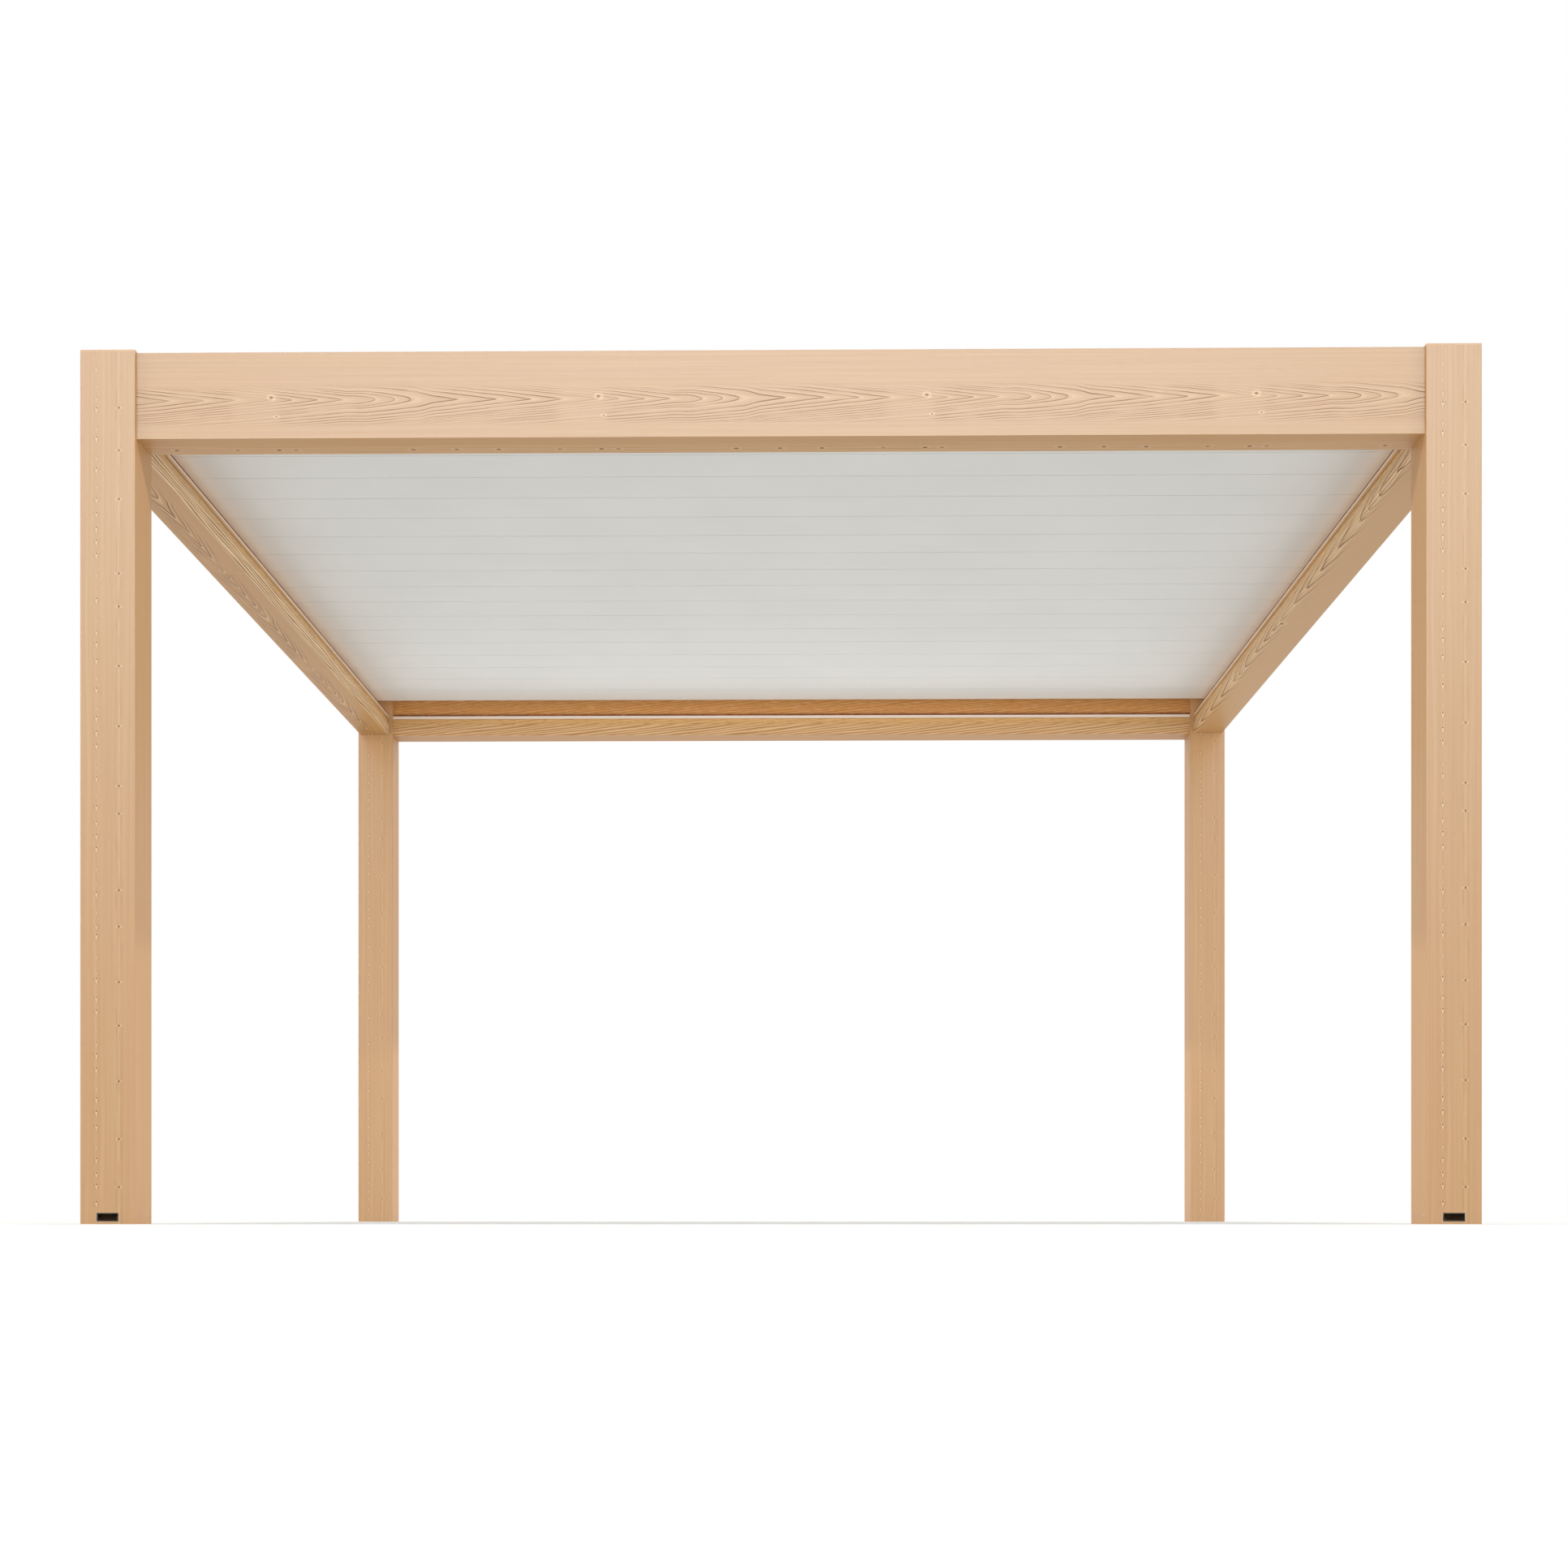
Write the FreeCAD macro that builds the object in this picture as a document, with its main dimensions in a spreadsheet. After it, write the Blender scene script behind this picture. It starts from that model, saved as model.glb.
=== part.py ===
# Freestanding veranda: four posts, four roof beams and a flat roof of turning louvre blades.
# Millimetres. +Z up, X across the front, +Y towards the back, origin on the ground in the middle.
import FreeCAD
import Part
import Sketcher
import os
import re

# Driving dimensions, each written once

SIZES = {
    # Outline of the whole frame
    "overall_width": 4000,
    "overall_depth": 4000,
    "post_height": 2504,
    # Posts: extruded square tube with a flat cap
    "post_side": 158,
    "post_wall": 3,
    "post_corner_radius": 2.5,
    "cap_thickness": 5,
    "cap_plug_depth": 12,
    "cap_plug_wall": 4,
    "cap_plug_clearance": 0.5,
    # Feet: a plate with two upright ears inside each post
    "foot_plate_thickness": 6,
    "foot_ear_thickness": 5,
    "foot_height": 90,
    "foot_length": 136,
    "foot_clearance": 0.5,
    "anchor_spacing": 90,
    "anchor_hole_radius": 6,
    # Roof beams: extruded section, the same face to the room on all four sides
    "beam_setback": 12,
    "beam_depth": 130,
    "beam_height": 247,
    "beam_wall": 3,
    "face_height": 51,
    "recess_depth": 7,
    "lip_height": 90,
    "flange_width": 15,
    # Light strip and rubber seal along the inner faces
    "led_height": 14,
    "led_drop": 1,
    "led_inset": 0.5,
    "seal_height": 7,
    "seal_width": 5,
    # Louvre blades
    "louvre_rise": 151,
    "louvre_thickness": 34,
    "louvre_skin": 1.6,
    "seam_gap": 5.2,
    "edge_space": 51.5,
    "lip_rise": 22,
    "lip_lean": 2.2,
    "channel_width": 18,
    "channel_slope": 7,
    "hook_reach": 17,
    "hook_thickness": 2.4,
    "hook_drop": 10,
    "web_offset": 78,
    "web_spacing": 60,
    # Louvre ends: a cap with a collar and a pivot pin, turning in the pivot rail
    "end_cap_thickness": 4,
    "end_clearance": 6,
    "pivot_offset": 60,
    "pivot_rise": 16,
    "pin_radius": 5,
    "pin_clearance": 0.05,
    "pin_length": 18,
    "collar_radius": 9,
    "collar_length": 5,
    "rail_depth": 25,
    "rail_height": 44,
    "rail_wall": 4,
    # Closing strips between the roof and the front and back beams
    "strip_wall": 2,
    "strip_leg": 24,
    "strip_drop": 8,
    "strip_clearance": 6.5,
    # Water path through the front posts
    "inlet_width": 90,
    "inlet_height": 34,
    "outlet_width": 62,
    "outlet_height": 24,
    "outlet_rise": 8,
    "outlet_wall": 2.5,
    "outlet_depth": 16,
    "outlet_inset": 0.5,
    "outlet_rim": 4,
    "outlet_sill": 1,
    "outlet_clearance": 0.2,
}

# The number of blades; their pitch follows from the room between the front and back beams
LOUVRE_COUNT = 18

# Sizes that follow from the driving ones

DERIVED = {
    "post_inner_x": "overall_width / 2 - post_side",
    "post_inner_y": "overall_depth / 2 - post_side",
    "tube_height": "post_height - cap_thickness",
    "beam_under": "tube_height - beam_height",
    "beam_face_x": "overall_width / 2 - beam_setback",
    "beam_face_y": "overall_depth / 2 - beam_setback",
    "wall_line": "beam_depth - recess_depth",
    "led_under": "lip_height - led_drop - led_height",
    "louvre_under": "beam_under + louvre_rise",
    "hook_under": "louvre_thickness - hook_thickness",
    "roof_line_y": "beam_face_y - wall_line",
    "louvre_pitch": f"2 * (roof_line_y - edge_space) / {LOUVRE_COUNT}",
    "louvre_width": "louvre_pitch - seam_gap",
    "first_edge_y": "edge_space + seam_gap / 2 - roof_line_y",
    "last_edge_y": "-first_edge_y",
    "rail_face_x": "beam_face_x - beam_wall - rail_depth",
    "cap_face_x": "rail_face_x - end_clearance",
    "louvre_half_length": "cap_face_x - end_cap_thickness",
    "pivot_z": "louvre_under + pivot_rise",
    "foot_width": "post_side - 2 * post_wall - 2 * foot_clearance",
    "plug_side": "post_side - 2 * post_wall - 2 * cap_plug_clearance",
}

doc = FreeCAD.newDocument("veranda")
sheet = doc.addObject("Spreadsheet::Sheet", "sizes")


def fill_sheet():
    cells = [(alias, str(value)) for alias, value in SIZES.items()]
    cells += [(alias, "=" + formula) for alias, formula in DERIVED.items()]
    for row, (alias, content) in enumerate(cells, start=1):
        sheet.set(f"A{row}", alias)
        sheet.set(f"B{row}", content)
        sheet.setAlias(f"B{row}", alias)
    doc.recompute()


fill_sheet()


def bound(formula):
    """A sheet formula written so that another object's expression can use it."""
    def cell(word):
        alias = word[0]
        return f"sizes.{alias}" if alias in SIZES or alias in DERIVED else alias
    return re.sub(r"[a-z_]+", cell, formula)


def value(formula):
    """The present value of a formula, in millimetres."""
    return float(sheet.evalExpression(formula))


# Bodies, sketches and features


def new_body(name):
    body = doc.addObject("PartDesign::Body", name)
    body.Label = name
    return body


def new_sketch(body, role, lift="0"):
    """A sketch on one of the body's own planes, lifted along that plane's normal."""
    plane = next(item for item in body.Origin.OriginFeatures if item.Role == role)
    sketch = body.newObject("Sketcher::SketchObject", body.Name + "_sketch")
    sketch.AttachmentSupport = (plane, "")
    sketch.MapMode = "FlatFace"
    sketch.setExpression(".AttachmentOffset.Base.z", bound(lift))
    return sketch


# In a constraint, point 1 of a line is its start, 2 its end, and 3 the centre of a circle;
# -1 is the sketch's horizontal axis, whose point 1 is the origin, and -2 the upright axis.
def fix_point(sketch, geometry, point, x, y):
    """Tie a point of a sketch to formulas, measured from the sketch's origin."""
    for formula, axis, kind in ((x, -2, "DistanceX"), (y, -1, "DistanceY")):
        if formula == "0":
            sketch.addConstraint(Sketcher.Constraint("PointOnObject", geometry, point, axis))
            continue
        distance = Sketcher.Constraint(kind, -1, 1, geometry, point, value(formula))
        index = sketch.addConstraint(distance)
        sketch.setExpression(f"Constraints[{index}]", bound(formula))


def add_loop(sketch, corners):
    """A closed loop of straight lines through corners given as pairs of formulas."""
    places = [FreeCAD.Vector(value(x), value(y), 0) for x, y in corners]
    first = sketch.GeometryCount
    count = len(places)
    lines = [Part.LineSegment(places[i], places[(i + 1) % count]) for i in range(count)]
    sketch.addGeometry(lines, False)
    joins = []
    for i in range(count):
        following = first + (i + 1) % count
        joins.append(Sketcher.Constraint("Coincident", first + i, 2, following, 1))
    sketch.addConstraint(joins)
    for i, (x, y) in enumerate(corners):
        fix_point(sketch, first + i, 1, x, y)


def add_circle(sketch, x, y, radius):
    centre = FreeCAD.Vector(value(x), value(y), 0)
    circle = Part.Circle(centre, FreeCAD.Vector(0, 0, 1), value(radius))
    geometry = sketch.addGeometry(circle, False)
    fix_point(sketch, geometry, 3, x, y)
    index = sketch.addConstraint(Sketcher.Constraint("Radius", geometry, value(radius)))
    sketch.setExpression(f"Constraints[{index}]", bound(radius))


def add_many_sided(sketch, x, y, radius, hole=False):
    """A nearly round outline with few sides, which keeps a shape with many repeats light.
    Its corners lie on the radius, or in a hole the middles of its sides do."""
    sides = 12
    reach = f"({radius}) / cos({180 / sides})" if hole else radius
    corners = []
    for number in range(sides):
        turn = (number + 0.5) * 360 / sides
        corners.append((f"{x} + {reach} * cos({turn})", f"{y} + {reach} * sin({turn})"))
    add_loop(sketch, corners)


def add_rectangle(sketch, left, bottom, right, top):
    add_loop(sketch, [(left, bottom), (right, bottom), (right, top), (left, top)])


def pad(body, sketch, length, side="One side", backwards=False):
    feature = body.newObject("PartDesign::Pad", body.Name + "_pad")
    feature.Profile = sketch
    feature.setExpression("Length", bound(length))
    feature.SideType = side
    feature.Reversed = backwards
    return feature


def pocket(body, sketch, depth, backwards=False):
    feature = body.newObject("PartDesign::Pocket", body.Name + "_pocket")
    feature.Profile = sketch
    feature.setExpression("Length", bound(depth))
    feature.Reversed = backwards
    return feature


def place(item, x, y, z, turn=0):
    """Bind an object's position to formulas, after a turn in degrees about +Z."""
    item.Placement.Rotation = FreeCAD.Rotation(FreeCAD.Vector(0, 0, 1), turn)
    for axis, formula in (("x", x), ("y", y), ("z", z)):
        item.setExpression(f".Placement.Base.{axis}", bound(formula))


def group(name, members):
    """Like pieces that share one node, as solids that don't touch."""
    compound = doc.addObject("Part::Compound", name)
    compound.Label = name
    compound.Links = members
    return compound


CORNERS = {
    "front_left": (-1, -1),
    "front_right": (1, -1),
    "back_left": (-1, 1),
    "back_right": (1, 1),
}


def corner_place(item, corner, z="0"):
    """Put a piece that is drawn about its own centre on the axis of a corner post."""
    across, along = CORNERS[corner]
    place(item, f"{across} * (overall_width - post_side) / 2",
          f"{along} * (overall_depth - post_side) / 2", z)


# Posts

def round_upright_edges(body, feature, radius):
    """Round the outer corners of an upright tube whose section is centred on its axis."""
    doc.recompute()
    reach = value("post_side") / 2
    names = []
    for number, edge in enumerate(feature.Shape.Edges, start=1):
        ends = [vertex.Point for vertex in edge.Vertexes]
        upright = abs(ends[0].x - ends[1].x) < 0.01 and abs(ends[0].y - ends[1].y) < 0.01
        outer = abs(abs(ends[0].x) - reach) < 0.01 and abs(abs(ends[0].y) - reach) < 0.01
        if upright and outer:
            names.append(f"Edge{number}")
    fillet = body.newObject("PartDesign::Fillet", body.Name + "_fillet")
    fillet.Base = (feature, names)
    fillet.setExpression("Radius", bound(radius))
    return fillet


def make_post(corner):
    """A square tube; a front post also has the gutter inlet and the drain cut-out."""
    body = new_body("post_" + corner)
    section = new_sketch(body, "XY_Plane")
    half = "post_side / 2"
    inside = "(post_side / 2 - post_wall)"
    add_rectangle(section, "-" + half, "-" + half, half, half)
    add_rectangle(section, "-" + inside, "-" + inside, inside, inside)
    tube = pad(body, section, "tube_height")
    round_upright_edges(body, tube, "post_corner_radius")
    if corner.startswith("front"):
        outlet = new_sketch(body, "XZ_Plane", "post_side / 2 - post_wall")
        reach = "(outlet_width / 2 + outlet_clearance)"
        add_rectangle(outlet, "-" + reach, "outlet_rise - outlet_clearance", reach,
                      "outlet_rise + outlet_height + outlet_clearance")
        pocket(body, outlet, "post_wall", backwards=True)
        inlet = new_sketch(body, "XZ_Plane", "-post_side / 2")
        floor = "beam_under + face_height"
        middle = "(beam_setback + wall_line / 2 - post_side / 2)"
        across = CORNERS[corner][0]
        add_rectangle(inlet, f"{-across} * {middle} - inlet_width / 2", floor,
                      f"{-across} * {middle} + inlet_width / 2", floor + " + inlet_height")
        pocket(body, inlet, "post_wall", backwards=True)
    corner_place(body, corner)
    return body


def make_post_cap(corner):
    """A flat cap with a hollow plug that fits inside the tube."""
    body = new_body("post_cap_" + corner)
    plate = new_sketch(body, "XY_Plane")
    half = "post_side / 2"
    add_rectangle(plate, "-" + half, "-" + half, half, half)
    round_upright_edges(body, pad(body, plate, "cap_thickness"), "post_corner_radius")
    plug = new_sketch(body, "XY_Plane")
    outer = "plug_side / 2"
    inner = "(plug_side / 2 - cap_plug_wall)"
    add_rectangle(plug, "-" + outer, "-" + outer, outer, outer)
    add_rectangle(plug, "-" + inner, "-" + inner, inner, inner)
    pad(body, plug, "cap_plug_depth", backwards=True)
    corner_place(body, corner, "tube_height")
    return body


def make_post_foot(corner):
    """A ground plate with two ears that the post slides over, and four anchor holes."""
    body = new_body("post_foot_" + corner)
    section = new_sketch(body, "XZ_Plane")
    half = "foot_width / 2"
    inner = "(foot_width / 2 - foot_ear_thickness)"
    add_loop(section, [
        ("-" + half, "0"),
        (half, "0"),
        (half, "foot_height"),
        (inner, "foot_height"),
        (inner, "foot_plate_thickness"),
        ("-" + inner, "foot_plate_thickness"),
        ("-" + inner, "foot_height"),
        ("-" + half, "foot_height"),
    ])
    pad(body, section, "foot_length", side="Symmetric")
    holes = new_sketch(body, "XY_Plane")
    for across in ("-", ""):
        for along in ("-", ""):
            add_circle(holes, across + "anchor_spacing / 2", along + "anchor_spacing / 2",
                       "anchor_hole_radius")
    pocket(body, holes, "foot_plate_thickness", backwards=True)
    corner_place(body, corner)
    return body


def make_drain_outlet(corner):
    """A rectangular spout in the front of a post, with a rim behind the post's wall."""
    body = new_body("drain_outlet_" + corner)
    half = "outlet_width / 2"
    top = "outlet_height"
    bore = ("-(outlet_width / 2 - outlet_wall)", "outlet_wall",
            "outlet_width / 2 - outlet_wall", "outlet_height - outlet_wall")
    sleeve = new_sketch(body, "XZ_Plane", "-outlet_inset")
    add_rectangle(sleeve, "-" + half, "0", half, top)
    add_rectangle(sleeve, *bore)
    pad(body, sleeve, "outlet_depth", backwards=True)
    rim = new_sketch(body, "XZ_Plane", "-post_wall")
    add_rectangle(rim, "-(outlet_width / 2 + outlet_rim)", "-outlet_sill",
                  "outlet_width / 2 + outlet_rim", "outlet_height + outlet_rim")
    add_rectangle(rim, *bore)
    pad(body, rim, "outlet_wall", backwards=True)
    across = CORNERS[corner][0]
    place(body, f"{across} * (overall_width - post_side) / 2", "-overall_depth / 2",
          "outlet_rise")
    return body


# Roof beams

SIDES = {
    "left": ("-beam_face_x", "0"),
    "right": ("beam_face_x", "0"),
    "front": ("0", "-beam_face_y"),
    "back": ("0", "beam_face_y"),
}


def side_place(item, side, z="beam_under"):
    """Put a piece on its side of the roof. It is drawn with the beam's outer face on the
    sketch's upright axis, then turned so that its inner face looks into the room."""
    turns = {"left": 0, "right": 180, "front": 90, "back": -90}
    x, y = SIDES[side]
    place(item, x, y, z, turns[side])


def beam_length(side):
    return "2 * post_inner_y" if side in ("left", "right") else "2 * post_inner_x"


LOWER_CHAMBER = ("beam_wall", "beam_wall", "beam_depth - beam_wall", "face_height - beam_wall")


def make_gutter_beam(side):
    """A side beam: a closed chamber below, whose top is the floor of an open gutter."""
    body = new_body("beam_" + side)
    section = new_sketch(body, "XZ_Plane")
    add_loop(section, [
        ("0", "0"),
        ("beam_depth", "0"),
        ("beam_depth", "face_height"),
        ("beam_wall", "face_height"),
        ("beam_wall", "beam_height - beam_wall"),
        ("flange_width", "beam_height - beam_wall"),
        ("flange_width", "beam_height"),
        ("0", "beam_height"),
    ])
    add_rectangle(section, *LOWER_CHAMBER)
    pad(body, section, beam_length(side), side="Symmetric")
    side_place(body, side)
    return body


def make_gutter_lip(side):
    """The low wall between a gutter and the room, which also carries the light strip."""
    body = new_body("gutter_lip_" + side)
    section = new_sketch(body, "XZ_Plane")
    add_rectangle(section, "wall_line - beam_wall", "face_height", "wall_line", "lip_height")
    pad(body, section, beam_length(side), side="Symmetric")
    side_place(body, side)
    return body


def make_box_beam(side):
    """A front or back beam: the same face to the room, with a full-height inner wall."""
    body = new_body("beam_" + side)
    section = new_sketch(body, "XZ_Plane")
    add_loop(section, [
        ("0", "0"),
        ("beam_depth", "0"),
        ("beam_depth", "face_height"),
        ("wall_line", "face_height"),
        ("wall_line", "beam_height"),
        ("0", "beam_height"),
    ])
    add_rectangle(section, *LOWER_CHAMBER)
    add_rectangle(section, "beam_wall", "face_height", "wall_line - beam_wall",
                  "beam_height - beam_wall")
    pad(body, section, beam_length(side), side="Symmetric")
    side_place(body, side)
    return body


def make_led_strip(side):
    body = new_body("led_strip_" + side)
    section = new_sketch(body, "XZ_Plane")
    add_rectangle(section, "wall_line", "led_under", "beam_depth - led_inset",
                  "led_under + led_height")
    pad(body, section, beam_length(side), side="Symmetric")
    side_place(body, side)
    return body


def make_seal(side):
    """A rubber strip above the light: on top of a gutter's lip, or against a box beam's wall."""
    body = new_body("seal_" + side)
    section = new_sketch(body, "XZ_Plane")
    back = "wall_line - beam_wall" if side in ("left", "right") else "wall_line"
    add_rectangle(section, back, "lip_height", "wall_line + seal_width",
                  "lip_height + seal_height")
    pad(body, section, beam_length(side), side="Symmetric")
    side_place(body, side)
    return body


# Louvre roof

LOUVRE_OUTLINE = [
    ("0", "0"),
    ("louvre_width", "0"),
    ("louvre_width", "hook_under"),
    ("louvre_width + hook_reach - hook_thickness", "hook_under"),
    ("louvre_width + hook_reach - hook_thickness", "louvre_thickness - hook_drop"),
    ("louvre_width + hook_reach", "louvre_thickness - hook_drop"),
    ("louvre_width + hook_reach", "louvre_thickness"),
    ("channel_width + channel_slope", "louvre_thickness"),
    ("channel_width", "louvre_skin"),
    ("lip_lean + louvre_skin", "louvre_skin"),
    ("lip_lean + louvre_skin", "lip_rise"),
    ("lip_lean", "lip_rise"),
]


def louvre_chambers():
    """The three hollows of a blade, parted by two upright webs."""
    bottom = "louvre_skin"
    top = "louvre_thickness - louvre_skin"
    half_web = "louvre_skin / 2"
    second_web = "web_offset + web_spacing"
    return [
        [("channel_width + louvre_skin", bottom),
         (f"web_offset - {half_web}", bottom),
         (f"web_offset - {half_web}", top),
         ("channel_width + channel_slope + louvre_skin", top)],
        [(f"web_offset + {half_web}", bottom),
         (f"{second_web} - {half_web}", bottom),
         (f"{second_web} - {half_web}", top),
         (f"web_offset + {half_web}", top)],
        [(f"{second_web} + {half_web}", bottom),
         ("louvre_width - louvre_skin", bottom),
         ("louvre_width - louvre_skin", top),
         (f"{second_web} + {half_web}", top)],
    ]


def louvre_edge_y(number):
    """The front edge of a blade, counted from 1 at the front."""
    return f"first_edge_y + {number - 1} * louvre_pitch"


def make_louvre(number):
    body = new_body(f"louvre_{number:02d}")
    section = new_sketch(body, "YZ_Plane")
    add_loop(section, LOUVRE_OUTLINE)
    for chamber in louvre_chambers():
        add_loop(section, chamber)
    pad(body, section, "2 * louvre_half_length", side="Symmetric")
    place(body, "0", louvre_edge_y(number), "louvre_under")
    return body


def make_louvre_end(number, side):
    """A cap over the end of a blade, with a collar and the pin that the blade turns on."""
    body = new_body(f"louvre_end_{side}_{number:02d}")
    left = side == "left"
    cap = new_sketch(body, "YZ_Plane")
    add_loop(cap, LOUVRE_OUTLINE)
    pad(body, cap, "end_cap_thickness", backwards=left)
    lift = "-end_cap_thickness" if left else "end_cap_thickness"
    for radius, length in (("collar_radius", "collar_length"), ("pin_radius", "pin_length")):
        round_piece = new_sketch(body, "YZ_Plane", lift)
        add_many_sided(round_piece, "pivot_offset", "pivot_rise", radius)
        pad(body, round_piece, length, backwards=left)
    x = "-louvre_half_length" if left else "louvre_half_length"
    place(body, x, louvre_edge_y(number), "louvre_under")
    return body


def make_pivot_rail(side):
    """A channel along a side beam's outer wall, with one bore for each blade's pin. The
    bores' sides stay clear of the circle that the pins' corners turn on."""
    body = new_body("pivot_rail_" + side)
    section = new_sketch(body, "XZ_Plane")
    add_loop(section, [
        ("0", "0"),
        ("rail_depth", "0"),
        ("rail_depth", "rail_height"),
        ("0", "rail_height"),
        ("0", "rail_height - rail_wall"),
        ("rail_depth - rail_wall", "rail_height - rail_wall"),
        ("rail_depth - rail_wall", "rail_wall"),
        ("0", "rail_wall"),
    ])
    pad(body, section, "2 * post_inner_y", side="Symmetric")
    across = -1 if side == "left" else 1
    for number in range(1, LOUVRE_COUNT + 1):
        bore = new_sketch(body, "YZ_Plane", "rail_depth")
        along = f"{-across} * ({louvre_edge_y(number)} + pivot_offset)"
        add_many_sided(bore, along, "rail_height / 2", "pin_radius + pin_clearance", hole=True)
        pocket(body, bore, "rail_wall")
    place(body, f"{across} * (beam_face_x - beam_wall)", "0", "pivot_z - rail_height / 2",
          0 if side == "left" else 180)
    return body


def make_front_closing_strip():
    """A fixed hook on the front beam that covers the first blade's channel."""
    body = new_body("closing_strip_front")
    section = new_sketch(body, "YZ_Plane")
    reach = "(roof_line_y + first_edge_y + hook_reach - seam_gap)"
    add_loop(section, [
        ("0", "hook_under"),
        (reach + " - hook_thickness", "hook_under"),
        (reach + " - hook_thickness", "louvre_thickness - hook_drop"),
        (reach, "louvre_thickness - hook_drop"),
        (reach, "louvre_thickness"),
        ("strip_wall", "louvre_thickness"),
        ("strip_wall", "hook_under + strip_leg"),
        ("0", "hook_under + strip_leg"),
    ])
    pad(body, section, beam_length("front"), side="Symmetric")
    place(body, "0", "-roof_line_y", "louvre_under")
    return body


def make_back_closing_strip():
    """A fixed channel on the back beam under the last blade's hook."""
    body = new_body("closing_strip_back")
    section = new_sketch(body, "YZ_Plane")
    reach = "(roof_line_y - last_edge_y - strip_clearance)"
    floor = "(lip_rise - strip_drop)"
    add_loop(section, [
        ("0", floor),
        ("0", floor + " + strip_leg"),
        ("-strip_wall", floor + " + strip_leg"),
        ("-strip_wall", floor + " + strip_wall"),
        (f"-{reach} + strip_wall", floor + " + strip_wall"),
        (f"-{reach} + strip_wall", "lip_rise"),
        (f"-{reach}", "lip_rise"),
        (f"-{reach}", floor),
    ])
    pad(body, section, beam_length("back"), side="Symmetric")
    place(body, "0", "roof_line_y", "louvre_under")
    return body


# The whole veranda

def make_all():
    parts = [make_post(corner) for corner in CORNERS]
    parts.append(group("post_caps", [make_post_cap(corner) for corner in CORNERS]))
    parts.append(group("post_feet", [make_post_foot(corner) for corner in CORNERS]))
    fronts = [corner for corner in CORNERS if corner.startswith("front")]
    parts.append(group("drain_outlets", [make_drain_outlet(corner) for corner in fronts]))
    parts += [make_gutter_beam("left"), make_gutter_beam("right")]
    parts.append(group("gutter_lips", [make_gutter_lip("left"), make_gutter_lip("right")]))
    parts += [make_box_beam("front"), make_box_beam("back")]
    parts.append(group("led_strips", [make_led_strip(side) for side in SIDES]))
    parts.append(group("lip_seals", [make_seal(side) for side in SIDES]))
    parts += [make_pivot_rail("left"), make_pivot_rail("right")]
    parts += [make_front_closing_strip(), make_back_closing_strip()]
    for number in range(1, LOUVRE_COUNT + 1):
        parts.append(make_louvre(number))
        ends = [make_louvre_end(number, side) for side in ("left", "right")]
        parts.append(group(f"louvre_ends_{number:02d}", ends))
    return parts


def check_document():
    for item in doc.Objects:
        faults = [state for state in item.State if state in ("Invalid", "Error")]
        if faults:
            raise RuntimeError(f"{item.Name}: {faults}")


def write_steps(parts):
    os.makedirs("parts", exist_ok=True)
    for part in parts:
        shape = part.Shape
        if shape.isNull() or not shape.isValid() or not shape.Solids:
            raise RuntimeError("bad shape: " + part.Label)
        shape.exportStep(f"parts/{part.Label}.step")
        print(f"{part.Label}: {len(shape.Solids)} solids, {shape.Volume / 1000:.1f} cm3")


PARTS = make_all()
doc.recompute()
check_document()
write_steps(PARTS)
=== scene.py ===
# %% [markdown]
# # A freestanding veranda with a turning louvre roof
# The real object is a frame of extruded aluminium tubes wrapped in a wood-look film, with
# a flat roof of white powder-coated blades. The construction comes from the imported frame,
# so this lesson is about finishes: how to make a film of printed wood, a white coat, a
# light strip and a few small fasteners, and how to light them plainly.

# %% Load the frame
import math

import bpy
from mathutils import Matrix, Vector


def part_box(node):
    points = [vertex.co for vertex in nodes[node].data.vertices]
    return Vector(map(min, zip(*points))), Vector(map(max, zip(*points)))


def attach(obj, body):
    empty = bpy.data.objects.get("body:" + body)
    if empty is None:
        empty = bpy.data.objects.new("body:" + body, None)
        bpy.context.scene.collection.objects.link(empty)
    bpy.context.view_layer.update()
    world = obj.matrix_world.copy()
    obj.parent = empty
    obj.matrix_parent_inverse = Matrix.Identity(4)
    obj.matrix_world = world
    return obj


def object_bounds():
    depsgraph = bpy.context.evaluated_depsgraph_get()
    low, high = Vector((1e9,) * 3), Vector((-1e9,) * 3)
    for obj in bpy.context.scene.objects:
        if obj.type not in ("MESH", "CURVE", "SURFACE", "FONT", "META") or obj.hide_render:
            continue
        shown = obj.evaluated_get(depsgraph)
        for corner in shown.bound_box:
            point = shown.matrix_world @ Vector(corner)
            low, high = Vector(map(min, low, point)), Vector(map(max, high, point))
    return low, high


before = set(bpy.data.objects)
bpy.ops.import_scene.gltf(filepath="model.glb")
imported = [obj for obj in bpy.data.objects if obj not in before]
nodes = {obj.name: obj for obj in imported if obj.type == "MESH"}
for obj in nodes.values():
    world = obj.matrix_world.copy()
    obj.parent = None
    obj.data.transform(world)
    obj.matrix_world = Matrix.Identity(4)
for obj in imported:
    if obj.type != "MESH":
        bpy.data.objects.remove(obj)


def plain_box(bounds):
    return [[float(number) for number in corner] for corner in bounds]


cad_box = plain_box(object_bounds())
print("pieces:", len(nodes), "box:", cad_box)

# %% [markdown]
# ## Camera
# The photograph was taken from just above the ground, looking level, and the upper part of
# a tall frame was used. Blender does that with a camera that stays level and a vertical
# shift, which keeps the posts parallel. The numbers were found by matching the post
# corners, the beam edges and the blade seams with their places in the photograph.

# %% Camera
FRAME_PIXELS = 1932
HORIZON_PIXEL = 1500.3
CAMERA_PLACE = (0.0907, -8.2122, 0.01865)
CAMERA_TURN = 0.012
LENS_MM = 50.0
SENSOR_MM = 36
VIEW_REACH = 200

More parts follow.
